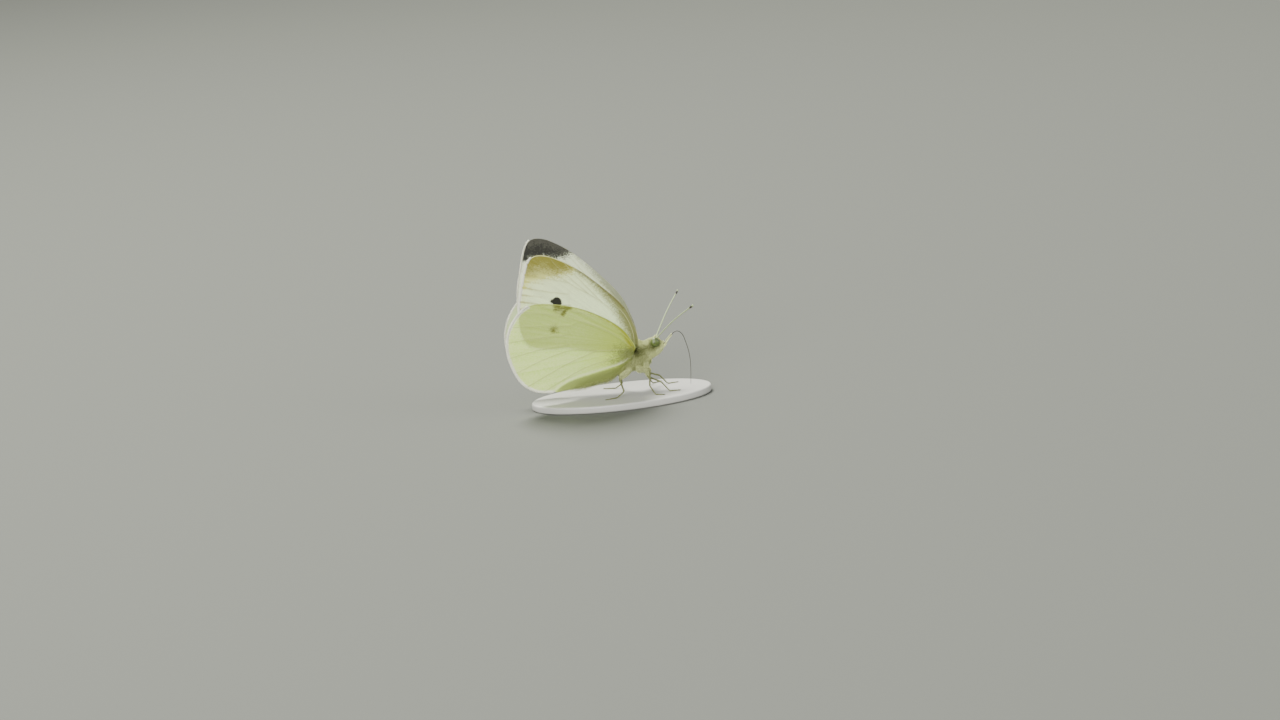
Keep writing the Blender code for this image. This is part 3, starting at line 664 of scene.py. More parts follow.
class Wing:
    """One wing as a grid of (back, up) points with the sheet tucked in below its crease."""

    def __init__(self, pair, side_name):
        self.pair = pair
        self.side = SIDES[side_name]
        self.name = pair + "_" + side_name
        self.swing = LEFT_HINDWING_SWING if self.name == "hindwing_left" else 0.0
        self.layer = FOREWING_LAYER if pair == "forewing" else HINDWING_LAYER
        fore = pair == "forewing"
        margin = smooth_line(FOREWING_MARGIN if fore else HINDWING_MARGIN)
        apex = (FOREWING_APEX if fore else HINDWING_APEX) * SMOOTH_STEPS
        corner = FOREWING_CORNER * SMOOTH_STEPS if fore else len(margin) - 1
        self.costa, self.outer = margin[:apex + 1], margin[apex:corner + 1]
        self.low = margin[corner:][::-1] if fore else smooth_line(CREASE)
        self.veins = [smooth_line(vein, 8) for vein in (FOREWING_VEINS if fore else HINDWING_VEINS)]
        rows, columns = FOREWING_GRID if fore else HINDWING_GRID
        root = np.stack((self.low[0], self.costa[0]))
        shares = inset_shares(root, self.outer[::-1], rows, columns)
        self.flat = patch(self.low, self.costa, root, self.outer[::-1], shares)
        self.fold = np.zeros(self.flat.shape[:2])
        self.sheet = self.flat.copy()
        if not fore:
            crease = along(self.low, shares[0])
            shift = along(smooth_line(FOLD_EDGE), shares[0]) - crease
            part = np.linspace(1, 0, FOLD_GRID, endpoint=False)[:, None]
            tucked = np.repeat(crease[None], FOLD_GRID, axis=0)
            tucked[..., 0] += shift[:, 0] * part
            fold = -shift[:, 1] * part
            self.flat = np.concatenate((tucked, self.flat))
            self.fold = np.concatenate((fold, self.fold))
            self.sheet = self.flat.copy()
            self.sheet[..., 1] -= self.fold

    def place(self, flat, fold=0.0, height=0.0):
        """The places in space of (back, up) points of this wing."""
        fold = np.zeros(flat.shape[:-1]) + fold
        return on_wing(flat, self.side, self.layer, self.swing, fold, height)

    def covered_by_forewing(self):
        """How far inside the forewing's outline each point of the hindwing lies, in mm."""
        outline = smooth_line(FOREWING_MARGIN, 6)
        outline = np.concatenate((outline, outline[:1]))
        x, y = swung(self.sheet, self.swing)
        inside = np.zeros(x.shape, bool)
        for (x0, y0, _), (x1, y1, _) in zip(outline[:-1], outline[1:]):
            if abs(y1 - y0) > 1e-9:
                inside ^= ((y0 > y) != (y1 > y)) & (x < (x1 - x0) * (y - y0) / (y1 - y0) + x0)
        gap = gap_to_line(np.stack((x, y, np.zeros_like(x)), axis=-1), outline)
        return np.where(inside, gap, -gap)

    def values(self):
        """Where the markings lie: millimetres inside each one's edge, at every point of the grid."""
        back, up = self.sheet[..., 0], self.sheet[..., 1]
        reach = np.hypot(back, up)
        to_vein = np.minimum.reduce([gap_to_line(self.sheet, vein) for vein in self.veins])
        to_costa = gap_to_line(self.sheet, self.costa)
        to_margin = np.maximum(gap_to_line(self.sheet, self.outer) - FRINGE_INSET, 0)
        bold = [vein for k, vein in enumerate(self.veins) if k != CELL_END[self.pair]]
        on_vein = np.exp(-(np.minimum.reduce([gap_to_line(self.sheet, vein) for vein in bold]) / 0.16) ** 2)
        pleats = [smooth_line(pleat, 4) for pleat in FOREWING_PLEATS] if self.pair == "forewing" else []
        to_pleat = np.minimum.reduce([gap_to_line(self.sheet, line) for line in pleats + self.veins])
        streak = np.exp(-(to_pleat / 0.2) ** 2) * np.exp(-to_margin / 3.2)
        values = {"on_vein": on_vein, "streak": streak, "to_vein": to_vein, "margin": 1.5 - to_margin,
                  "ray": np.arctan2(up - 0.3, back + 1.0) * 12}
        if self.pair == "forewing":
            wide = np.interp(reach, (0, 3, 7, 11, 16, 25), (1.3, 1.7, 1.7, 1.1, 0.35, 0.22))
            line_under = np.interp(back, *zip(*TIP_UNDER))
            line_upper = np.interp(back, *zip(*TIP_UPPER))
            notch = np.exp(-(to_vein / 0.3) ** 2) * np.exp(-to_margin / 1.6)
            spots = [in_spot(back, up, *spot) * min(spot[2:]) for spot in FOREWING_SPOTS]
            values.update({
                "costa": wide - to_costa, "tip": up - line_under + 1.6 * notch,
                "tip_upper": up - line_upper + 1.0 * notch,
                "tip_core": np.minimum(up - line_under - 0.2, 2.4 - to_costa),
                "edge_line": np.where((reach > 8) & (reach < 21), 0.1 - np.abs(to_costa - 0.2), -1),
                "rim_tip": np.minimum(1.5 - to_costa, up - line_upper - 0.3),
                "spot": np.maximum(spots[0], spots[1]),
                "faint": spots[2],
                "root": 4.0 - reach, "far": up - 9.0})
        else:
            wide = np.interp(reach, (0, 1, 3.5, 6, 10, 15, 20), (0.8, 1.1, 0.75, 0.4, 0.14, 0.08, 0.0))
            # Painted shadows of the forewing's spots and of the streak, seen through the hindwing.
            spot_shadows = [in_spot(back, up, *spot) * depth - faded for *spot, depth, faded in SPOT_SHADOWS]
            spot_shadows.append(0.45 - gap_to_line(self.sheet, smooth_line(STREAK_SHADOW, 4)) * 1.3)
            values.update({
                "costa": wide - to_costa,
                "spot_upper": in_spot(back, up, *HINDWING_SPOT) * min(HINDWING_SPOT[2:]),
                # tucked: how far into the fold; the darker colour it brings is painted shade
                "tucked": self.fold - 0.1, "root": 3.6 - reach,
                # ridge: a painted highlight along the crease, where the fold's ridge catches the light
                "ridge": np.where(self.fold > 0, -1, 0.55 - gap_to_line(self.sheet, self.low)),
                "dusky": 2.9 - np.hypot((back - 2.2) * 0.88, (up + 1.4) * 0.95),
                # covered: painted shade where the forewing behind the hindwing holds back the light through
                # it
                "covered": self.covered_by_forewing(), "ghost": np.maximum.reduce(spot_shadows)})
        return values


def make_membrane(wing, thickness, materials):
    """A wing's thin closed sheet: the underside faces out, the upperside faces the other wing."""
    values = wing.values()
    rows, columns = wing.flat.shape[:2]
    fade = np.clip(values["to_vein"] / 0.5, 0, 1) ** 2
    sag = -MEMBRANE_SAG * fade * (3 - 2 * fade)
    middle = wing.place(wing.flat, wing.fold, sag)
    du = np.gradient(middle, axis=1)
    dv = np.gradient(middle, axis=0)
    normal = unit(np.cross(du, dv))
    normal *= np.sign((normal * wing_axes(wing.side)[2]).sum(-1, keepdims=True))
    half = thickness / 2 * np.ones(wing.flat.shape[:2])
    points = np.concatenate(((middle + normal * half[..., None]).reshape(-1, 3),
                             (middle - normal * half[..., None]).reshape(-1, 3)))
    count = rows * columns
    faces = grid_faces(rows, columns) + grid_faces(rows, columns, count)
    index = [0] * (len(faces) // 2) + [1] * (len(faces) // 2)
    rim = ([j * columns for j in range(rows)] + [(rows - 1) * columns + i for i in range(1, columns)]
           + [j * columns + columns - 1 for j in range(rows - 2, -1, -1)] + list(range(columns - 2, 0, -1)))
    faces += [(a, b, b + count, a + count) for a, b in zip(rim, rim[1:] + rim[:1])]
    index += [0] * len(rim)
    doubled = {key: np.tile(value.ravel(), 2) for key, value in values.items()}
    made = make_shell(wing.name + "_membrane", points, faces, materials, doubled, index)
    sheet = np.tile(wing.sheet.reshape(-1, 3), (2, 1))
    corners = mesh_corners(made.data)
    place = np.stack((sheet[corners, 0] + 2, sheet[corners, 1] + 12 + 30 * (corners >= count)), axis=1)
    set_uv(made.data, "sheet", place / SHEET_UV)
    return made


# How brown the vein on the front edge is, as (mm from the hinge, shade there).
COSTA_BROWN = {"forewing": ((0, 8, 18, 21), (0.45, 0.62, 0.62, 0)),
               "hindwing": ((0, 7, 14, 17), (0.2, 0.5, 0.5, 0.4))}
VEIN_STEP = 0.16                # mm from ring to ring along a vein


def make_veins(wing, radius, material):
    """Round ribs under and over the membrane, thick at the hinge and fine at the margin."""
    points, edges, sizes, shades = [], [], [], []
    brown = COSTA_BROWN[wing.pair]
    for k, vein in enumerate([wing.costa] + wing.veins):
        line = along(vein, np.linspace(0, 1, int(line_length(vein) / VEIN_STEP) + 2))
        if k == 0:
            line = line + (along(wing.low, np.linspace(0, 1, len(line))) - line) * 0.004
        clear = gap_to_line(line, wing.outer) > FRINGE_INSET * (1.02 if k else 0.6)
        line = line[clear]
        reach = np.hypot(line[:, 0], line[:, 1])
        size = radius * np.interp(reach, (0, 3, 7, 14, 24), (0.9, 1.0, 1.0, 0.95, 0.85))
        size = size * (0.95 if k == 0 else 0.4 if k == CELL_END[wing.pair] + 1 else 1)
        if wing.pair == "forewing":
            for x, y, a, b in FOREWING_SPOTS:
                size = np.where(np.hypot((line[:, 0] - x) / a, (line[:, 1] - y) / b) < 1.15, size * 0.7, size)
        start = len(points)
        points += wing.place(line).tolist()
        edges += [(start + i, start + i + 1) for i in range(len(line) - 1)]
        sizes += size.tolist()
        shades += (np.interp(reach, *brown) if k == 0 else 0 * reach).tolist()
    made = make_object(wing.name + "_veins", points, [], [], {"radius": sizes, "shade": shades}, edges=edges)
    run_tree(made, get_tree("Ribs", build_ribs), {"Sides": 8, "Material": material})
    return made


def make_fringe(wing, length, material, blade, rng):
    """Long narrow scales side by side along the outer margin, two deep."""
    count = int(line_length(wing.outer) / FRINGE_STEP)
    shares = np.repeat(np.linspace(0.004, 0.996, count), 2)
    rows, columns = wing.flat.shape[:2]
    first = FOLD_GRID if wing.pair == "hindwing" else 0
    edge_row = first + (1 - shares) * (rows - 1 - first)
    low = np.clip(np.floor(edge_row).astype(int), 0, rows - 2)
    part = (edge_row - low)[:, None]
    edge = wing.flat[:, -1]
    root = edge[low] * (1 - part) + edge[low + 1] * part
    before, after = (along(wing.outer, np.clip(shares + step, 0, 1)) for step in (-0.01, 0.01))
    tangent = unit(after - before)
    away = np.stack((tangent[:, 1], -tangent[:, 0], np.zeros(len(tangent))), axis=1)
    middle = wing.flat[rows // 2, columns // 2]
    away *= np.sign(((root - middle) * away).sum(-1, keepdims=True))
    slant = tangent * rng.uniform(-0.22, 0.22, (len(shares), 1))
    layer = np.tile((-0.03, 0.03), count)
    start = wing.place(root - away * 0.12, height=layer)
    end = wing.place(root + away * length + slant * length, height=layer * 0.4)
    long = np.linalg.norm(end - start, axis=1) * rng.uniform(0.82, 1.12, len(shares))
    width = rng.uniform(*FRINGE_WIDTHS, len(shares))
    size = np.stack((width, np.full(len(shares), FRINGE_THICKNESS), long), axis=1)
    facing = np.tile(wing_axes(wing.side)[2], (len(shares), 1))
    made = make_object(wing.name + "_fringe", start, [], [],
                       {"along": end - start, "facing": facing, "size": size})
    run_tree(made, get_tree("Row", build_row), {"Piece": blade, "Material": material})
    return made


def make_blade(name, stations):
    """One flat hair or scale, a millimetre long along Z: (height, half width, bend) at each ring."""
    points, faces = [], []
    for z, half, bend in stations[:-1]:
        points += [(-half, bend, z), (half, bend, z), (0, bend + 0.5, z)]
    z, half, bend = stations[-1]
    points.append((0, bend, z))
    for ring in range(len(stations) - 2):
        a, b = ring * 3, ring * 3 + 3
        faces += [(a + i, a + (i + 1) % 3, b + (i + 1) % 3, b + i) for i in range(3)]
    last = (len(stations) - 2) * 3
    faces += [(last + i, last + (i + 1) % 3, last + 3) for i in range(3)] + [(2, 1, 0)]
    made = make_shell(name, points, faces, [], {"tip": [z for _, _, z in points]})
    flat = np.asarray(points)[mesh_corners(made.data)]
    set_uv(made.data, "blade_place", np.stack((flat[:, 0] * 0.6, flat[:, 2] - 0.5), axis=1))
    made.hide_render = True
    return made


# ---------------------------------------------------------------- materials
SCALE_LENGTH = 0.16             # mm; real scales are about 0.1 mm, drawn a little coarser so they show
SCALE_WIDTH = 0.1
FLECK_SIZE = 0.9                # mm across a cloud of darker or paler scales


def scale_material(name, ground, layers, shine, pleat_shade=(0.86, 0.86, 0.86)):
    """Wing scales: chalky shingles on a clear film, matt and soft, that let part of the light through.

    Each layer is (value, from, to, how ragged, strength, colour) and covers what lies under it.
    """
    material, tree = new_material(name)
    place = add_node(tree, "UVMap", {"uv_map": "sheet"})
    scaled = add_node(tree, "Mapping", {}, {
        "Scale": (SHEET_UV / SCALE_LENGTH, SHEET_UV / SCALE_WIDTH, 1.0)}, {"Vector": place.outputs["UV"]})
    shingle = add_node(tree, "TexVoronoi", {"voronoi_dimensions": "2D"}, {"Scale": 1.0},
                       {"Vector": scaled})
    each = add_node(tree, "SeparateColor", {}, {}, {0: shingle.outputs["Color"]})
    cloud = add_node(tree, "TexNoise", {"noise_dimensions": "2D"},
                     {"Scale": SHEET_UV / FLECK_SIZE, "Detail": 3.0, "Roughness": 0.6},
                     {"Vector": place.outputs["UV"]})
    scatter = add_node(tree, "Math", {"operation": "ADD"}, {},
                       {0: each, 1: cloud.outputs["Fac"]})
    scatter = add_node(tree, "Math", {"operation": "SUBTRACT"}, {1: 1.0}, {0: scatter})
    ray = add_node(tree, "Attribute", {"attribute_name": "ray"})
    pleat = add_node(tree, "TexNoise", {"noise_dimensions": "1D"}, {"Scale": 1.7, "Detail": 3.0},
                     {"W": ray.outputs["Fac"]})
    fine = add_node(tree, "Math", MULTIPLY_ADD, {1: 0.5},
                    {0: each.outputs[1], 2: pleat.outputs["Fac"]})
    level = add_node(tree, "MapRange", {}, {"From Min": 0.35, "From Max": 1.05},
                     {"Value": fine})
    base = add_node(tree, "Mix", RGBA,
                    {6: (*(g * p for g, p in zip(ground, pleat_shade)), 1), 7: (*ground, 1)},
                    {0: level}).outputs[2]
    for value, low, high, ragged, strength, colour in layers:
        field = add_node(tree, "Attribute", {"attribute_name": value})
        frayed = add_node(tree, "Math", MULTIPLY_ADD, {1: ragged},
                          {0: scatter, 2: field.outputs["Fac"]})
        mask = add_node(tree, "MapRange", {"interpolation_type": "SMOOTHSTEP"},
                        {"From Min": low, "From Max": high, "To Max": strength}, {"Value": frayed})
        base = add_node(tree, "Mix", RGBA, {7: (*colour, 1)},
                        {0: mask, 6: base}).outputs[2]
    pleated = add_node(tree, "Bump", {}, {"Strength": 0.5, "Distance": 0.00012},
                       {"Height": pleat.outputs["Fac"]})
    relief = add_node(tree, "Bump", {}, {"Strength": 0.3, "Distance": 0.00002},
                      {"Height": shingle.outputs["Distance"], "Normal": pleated})
    body = add_node(tree, "BsdfPrincipled", {},
                    {"Roughness": 0.62, "IOR": 1.5, "Specular IOR Level": 0.3, "Sheen Weight": 0.12,
                     "Sheen Roughness": 0.45},
                    {"Base Color": base, "Normal": relief})
    through = add_node(tree, "BsdfTranslucent", {}, {}, {"Color": base, "Normal": relief})
    mixed = add_node(tree, "MixShader", {}, {0: shine}, {1: body, 2: through})
    return with_surface(material, mixed)


def hair_material(name, pale, dark, glow=0.28):
    """Soft scale-hairs: dry and silky, paler towards the sides, each blade a little different; the lowest
    tones, which carry painted shade, go near-black.
    """
    material, tree = new_material(name)
    tone = add_node(tree, "Attribute", {"attribute_name": "tone"})
    place = add_node(tree, "TexCoord")
    speckle = add_node(tree, "TexNoise", {}, {"Scale": 1 / (0.45 * MM), "Detail": 2.0},
                       {"Vector": place.outputs["Object"]})
    each = add_node(tree, "Attribute", {"attribute_name": "each"})
    tip = add_node(tree, "Attribute", {"attribute_name": "tip"})
    varied = add_node(tree, "Math", MULTIPLY_ADD, {1: 0.55},
                      {0: each.outputs["Fac"], 2: tone.outputs["Fac"]})
    faded = add_node(tree, "Math", MULTIPLY_ADD, {1: 0.3},
                     {0: tip.outputs["Fac"], 2: varied})
    shifted = add_node(tree, "Math", MULTIPLY_ADD, {1: 0.7},
                       {0: speckle.outputs["Fac"], 2: faded})
    mask = add_node(tree, "MapRange", {}, {"From Min": 0.35, "From Max": 1.4},
                    {"Value": shifted})
    base = add_node(tree, "Mix", RGBA, {6: (*dark, 1), 7: (*pale, 1)},
                    {0: mask}).outputs[2]
    # The lowest tones go near-black: the painted shade at the wing roots, round the eye and in the neck
    # crease, the dark scales at the roots and the darker shins.
    deep_dark_and_shade = add_node(tree, "MapRange", {}, {"From Min": 0.1, "From Max": -0.4, "To Max": 0.9},
                     {"Value": shifted})
    base = add_node(tree, "Mix", RGBA, {7: (*linear("2a2617"), 1)},
                    {0: deep_dark_and_shade, 6: base}).outputs[2]
    body = add_node(tree, "BsdfPrincipled", {},
                    {"Roughness": 0.6, "IOR": 1.5, "Specular IOR Level": 0.2, "Sheen Weight": 0.05,
                     "Sheen Roughness": 0.4}, {"Base Color": base})
    through = add_node(tree, "BsdfTranslucent", {}, {}, {"Color": base})
    mixed = add_node(tree, "MixShader", {}, {0: glow}, {1: body, 2: through})
    return with_surface(material, mixed)


def horn_material(name, colour, dark, grain, roughness, coat, relief=0.00001):
    """Horny cuticle: hard, finely pitted and faintly glossy, mottled darker at the grain's size."""
    material, tree = new_material(name)
    place = add_node(tree, "TexCoord")
    mottle = add_node(tree, "TexNoise", {}, {"Scale": 1 / (grain * MM), "Detail": 4.0},
                      {"Vector": place.outputs["Object"]})
    pits = add_node(tree, "TexVoronoi", {}, {"Scale": 4 / (grain * MM)},
                    {"Vector": place.outputs["Object"]})
    mask = add_node(tree, "MapRange", {}, {"From Min": 0.35, "From Max": 0.65},
                    {"Value": mottle.outputs["Fac"]})
    base = add_node(tree, "Mix", RGBA, {6: (*colour, 1), 7: (*dark, 1)},
                    {0: mask}).outputs[2]
    bump = add_node(tree, "Bump", {}, {"Strength": 0.5, "Distance": relief},
                    {"Height": pits.outputs["Distance"]})
    body = add_node(tree, "BsdfPrincipled", {},
                    {"Roughness": roughness, "IOR": 1.56, "Coat Weight": coat, "Coat Roughness": 0.15},
                    {"Base Color": base, "Normal": bump})
    return with_surface(material, body)


def skin_material(name, pale, dark, horn):
    """Cuticle under the coat, with the coat's own markings and painted light and shade, so that no gap
    between hairs shows.
    """
    material, tree = new_material(name)
    tone = add_node(tree, "Attribute", {"attribute_name": "tone"})
    place = add_node(tree, "TexCoord")
    mottle = add_node(tree, "TexNoise", {}, {"Scale": 1 / (0.3 * MM), "Detail": 4.0},
                      {"Vector": place.outputs["Object"]})
    shaded = add_node(tree, "Mix", RGBA, {6: (*dark, 1), 7: (*pale, 1)},
                      {0: tone.outputs["Fac"]})
    part = add_node(tree, "MapRange", {}, {"From Min": 0.35, "From Max": 0.7, "To Min": 0.3,
                                                     "To Max": 0.75}, {"Value": mottle.outputs["Fac"]})
    base = add_node(tree, "Mix", RGBA, {7: (*horn, 1)},
                    {0: part, 6: shaded.outputs[2]})
    bump = add_node(tree, "Bump", {}, {"Strength": 0.6, "Distance": 0.00002},
                    {"Height": mottle.outputs["Fac"]})
    body = add_node(tree, "BsdfPrincipled", {}, {"Roughness": 0.55, "IOR": 1.56},
                    {"Base Color": base.outputs[2], "Normal": bump})
    return with_surface(material, body)


def eye_material(name, colour):
    """Compound eye: a glossy dome of tiny facets, olive green with darker flecks."""
    material, tree = new_material(name)
    place = add_node(tree, "TexCoord")
    facets = add_node(tree, "TexVoronoi", {}, {"Scale": 1 / (0.05 * MM), "Randomness": 0.25},
                      {"Vector": place.outputs["Object"]})
    flecks = add_node(tree, "TexNoise", {}, {"Scale": 1 / (0.5 * MM), "Detail": 1.5},
                      {"Vector": place.outputs["Object"]})
    dark = add_node(tree, "MapRange", {"interpolation_type": "SMOOTHSTEP"},
                    {"From Min": 0.44, "From Max": 0.66, "To Max": 0.75},
                    {"Value": flecks.outputs["Fac"]})
    base = add_node(tree, "Mix", RGBA,
                    {6: (*colour, 1), 7: (*(c * 0.3 for c in colour), 1)}, {0: dark})
    bump = add_node(tree, "Bump", {"invert": True}, {"Strength": 0.6, "Distance": 0.00001},
                    {"Height": facets.outputs["Distance"]})
    body = add_node(tree, "BsdfPrincipled", {},
                    {"Roughness": 0.4, "IOR": 1.5, "Coat Weight": 0.12, "Coat Roughness": 0.15},
                    {"Base Color": base.outputs[2], "Normal": bump})
    return with_surface(material, body)


def antenna_material(name, pale, dark):
    """The cover of a thin rod, antenna or vein: pale and matt, darkened by its shade and at each joint."""
    material, tree = new_material(name)
    shade = add_node(tree, "Attribute", {"attribute_name": "shade"})
    joint = add_node(tree, "Attribute", {"attribute_name": "joint"})
    place = add_node(tree, "TexCoord")
    speckle = add_node(tree, "TexNoise", {}, {"Scale": 1 / (0.08 * MM), "Detail": 2.0},
                       {"Vector": place.outputs["Object"]})
    frayed = add_node(tree, "Math", MULTIPLY_ADD, {1: 0.6},
                      {0: speckle.outputs["Fac"], 2: shade.outputs["Fac"]})
    mask = add_node(tree, "MapRange", {}, {"From Min": 0.62, "From Max": 1.0},
                    {"Value": frayed})
    ringed = add_node(tree, "Math", {"operation": "MAXIMUM"}, {},
                      {0: mask, 1: joint.outputs["Fac"]})
    base = add_node(tree, "Mix", RGBA, {6: (*pale, 1), 7: (*dark, 1)},
                    {0: ringed})
    bump = add_node(tree, "Bump", {}, {"Strength": 0.4, "Distance": 0.00001},
                    {"Height": speckle.outputs["Fac"]})
    body = add_node(tree, "BsdfPrincipled", {}, {"Roughness": 0.55, "IOR": 1.5},
                    {"Base Color": base.outputs[2], "Normal": bump})
    return with_surface(material, body)


def lacquer_material(name, colour):
    """Sprayed satin lacquer on metal: even and pale, with a faint orange-peel ripple."""
    material, tree = new_material(name)
    place = add_node(tree, "TexCoord")
    peel = add_node(tree, "TexNoise", {}, {"Scale": 1 / (1.2 * MM), "Detail": 2.0},
                    {"Vector": place.outputs["Object"]})
    tint = add_node(tree, "MapRange", {}, {"To Min": 0.93, "To Max": 1.0},
                    {"Value": peel.outputs["Fac"]})
    base = add_node(tree, "Mix", {"data_type": "RGBA", "blend_type": "MULTIPLY"},
                    {0: 1.0, 6: (*colour, 1)}, {7: tint})
    bump = add_node(tree, "Bump", {}, {"Strength": 0.25, "Distance": 0.00003},
                    {"Height": peel.outputs["Fac"]})
    body = add_node(tree, "BsdfPrincipled", {},
                    {"Roughness": 0.42, "IOR": 1.5, "Coat Weight": 0.15, "Coat Roughness": 0.3},
                    {"Base Color": base.outputs[2], "Normal": bump})
    return with_surface(material, body)


# ---------------------------------------------------------------- body: shape
LEG_NAMES = ("front", "middle", "hind")
SKIN_UV = 17.0                  # mm of unrolled skin across the whole of its UV map
OFBAKE_PATCH = 0.003            # how much of its coat's OFBake map one tuft's own patch spans
ABDOMEN_GROOVE = 0.07


def body_tube():
    """Abdomen, thorax, neck and head as one unbroken skin, with sunken rings and eye sockets."""
    axis = smooth_line([(x, 0, z) for x, z in BODY_AXIS])
    shares = np.linspace(0, 1, BODY_RINGS) ** 0.96
    profile = smooth_line(SKIN_PROFILE)
    order = np.maximum.accumulate(profile[:, 0])
    wide, high = (np.interp(shares, order, profile[:, k]) for k in (1, 2))
    on_abdomen = np.clip(shares / WAIST_SHARE, 0, 1)
    seam = np.abs(np.cos(math.pi * ABDOMEN_RINGS * on_abdomen)) ** 10
    groove = 1 - ABDOMEN_GROOVE * seam * (on_abdomen < 0.97)
    wide, high = wide * groove, high * groove
    tube = Tube(along(axis, shares), wide, high, BODY_SIDES, level=True)
    points = tube.points
    for side in SIDES.values():
        centre = np.array((EYE_PLACE.x, 0, EYE_PLACE.z))
        flat = np.linalg.norm((points - centre) * (1, 0, 1), axis=1)
        sink = np.clip((EYE_RADIUS * 1.04 - flat) / 0.12, 0, 1) * (points[:, 1] * side > 0.3)
        limit = EYE_PLACE.y - 0.12
        points[:, 1] = np.where(sink > 0, np.sign(points[:, 1]) * np.minimum(
            np.abs(points[:, 1]), np.abs(points[:, 1]) * (1 - sink) + limit * sink), points[:, 1])
    return tube


def leg_tube(leg_name, side):
    """A leg from inside the breast to its toe: stout thigh, thin shin and five foot segments."""
    knots = [(x, y * side, z) for x, y, z in LEGS[leg_name]]
    joints = [np.asarray(knot, float) for knot in knots]
    line, radii = [], []
    pieces = ((0, 1, 8), (1, 2, 18), (2, 3, 18), (3, 4, 10), (4, 5, 12))
    for start, end, count in pieces:
        for i in range(count):
            part = i / count
            line.append(joints[start] * (1 - part) + joints[end] * part)
            size = LEG_RADII[start] * (1 - part) + LEG_RADII[end] * part
            if start == 1:
                size *= 1 + (FEMUR_SWELL - 1) * math.sin(math.pi * min(part * 1.15, 1))
            if start == 2:
                size *= 1 + 0.18 * part ** 3
            if start >= 3:
                size *= 1 - 0.22 * abs(math.cos(math.pi * 2.5 * part)) ** 6
            radii.append(size)
    line.append(joints[-1])
    radii.append(LEG_RADII[-1] * 0.8)
    line = np.array(line)
    for _ in range(2):
        line[1:-1] = (line[:-2] + 2 * line[1:-1] + line[2:]) / 4
    return Tube(line, radii, sides=12)


def palp_tube(side):
    """A palp that curves up in front of the face and tapers to a point."""
    line = along(smooth_line([(x, y * side, z) for x, y, z in PALP]), np.linspace(0, 1, 26))
    radii = np.interp(np.linspace(0, 1, 26), np.linspace(0, 1, len(PALP_RADII)), PALP_RADII)
    return Tube(line, radii, sides=12)


def join_skin(tubes, material):
    """Union of the body with its legs and palps, as one closed mesh."""
    body = make_shell("skin", tubes["body"].points, tubes["body"].faces, [material])
    limbs = make_shell("limbs", *join_tubes(tube for key, tube in tubes.items() if key != "body"), [material])
    union = body.modifiers.new("union", "BOOLEAN")
    union.operation = "UNION"
    union.solver = "EXACT"
    union.object = limbs
    apply_modifiers(body)
    bpy.data.objects.remove(limbs)
    bm = bmesh.new()
    bm.from_mesh(body.data)
    bmesh.ops.remove_doubles(bm, verts=bm.verts, dist=0.0005)
    bmesh.ops.triangulate(bm, faces=[face for face in bm.faces if len(face.verts) > 4])
    bm.to_mesh(body.data)
    bm.free()
    face_outwards(body.data)
    return body


def near_parts(tubes, points):
    """For each point the part whose skin it lies on, with its share, angle and ring there."""
    keys = list(tubes)
    best = np.full(len(points), 1e9)
    owner = np.zeros(len(points), int)
    found = {}
    for k, key in enumerate(keys):
        tube = tubes[key]
        share, angle, ring = tube.unroll(points)
        found[key] = (share, angle, ring)
        offset = np.linalg.norm(points - tube.line[ring], axis=1)
        if key == "body":
            size = np.hypot(tube.widths[ring] * np.cos(angle), tube.heights[ring] * np.sin(angle))
        else:
            size = tube.widths[ring]
        miss = np.abs(offset - size)
        better = miss < best
        owner[better] = k
        best[better] = miss[better]
    return keys, owner, found


def unroll_skin(mesh, tubes):
    """Lay the skin's UV map out as one strip for the body, one for each leg and one for each palp."""
    corners, points = mesh_corners(mesh), mesh_points(mesh)
    totals = np.empty(len(mesh.polygons), np.int32)
    mesh.polygons.foreach_get("loop_total", totals)
    face_of = np.repeat(np.arange(len(totals)), totals)
    centres = np.zeros((len(totals), 3))
    np.add.at(centres, face_of, points[corners])
    centres /= totals[:, None]
    keys, owner, found = near_parts(tubes, centres)
    place = np.zeros((len(corners), 2))
    for k, key in enumerate(keys):
        tube = tubes[key]
        mine = owner[face_of] == k
        if not mine.any():
            continue
        share, angle = tube.unroll(points[corners[mine]])[:2]
        middle = found[key][1][face_of[mine]]
        angle = middle + (angle - middle + math.pi) % (2 * math.pi) - math.pi
        girth = 2 * math.pi * float(tube.widths.max()) * (1.25 if key == "body" else 1)
        low = 0.34 if key == "body" else 0.035 + 0.034 * (k - 1)
        place[mine, 0] = 0.01 + share * tube.length * 0.97 / SKIN_UV
        place[mine, 1] = low + (angle / (2 * math.pi) + 0.5) * girth / SKIN_UV
    set_uv(mesh, "skin_place", np.clip(place, 0.001, 0.999))


def ease(value, low, high):
    """Smooth step of a value between two bounds."""
    part = np.clip((value - low) / (high - low), 0, 1)
    return part * part * (3 - 2 * part)


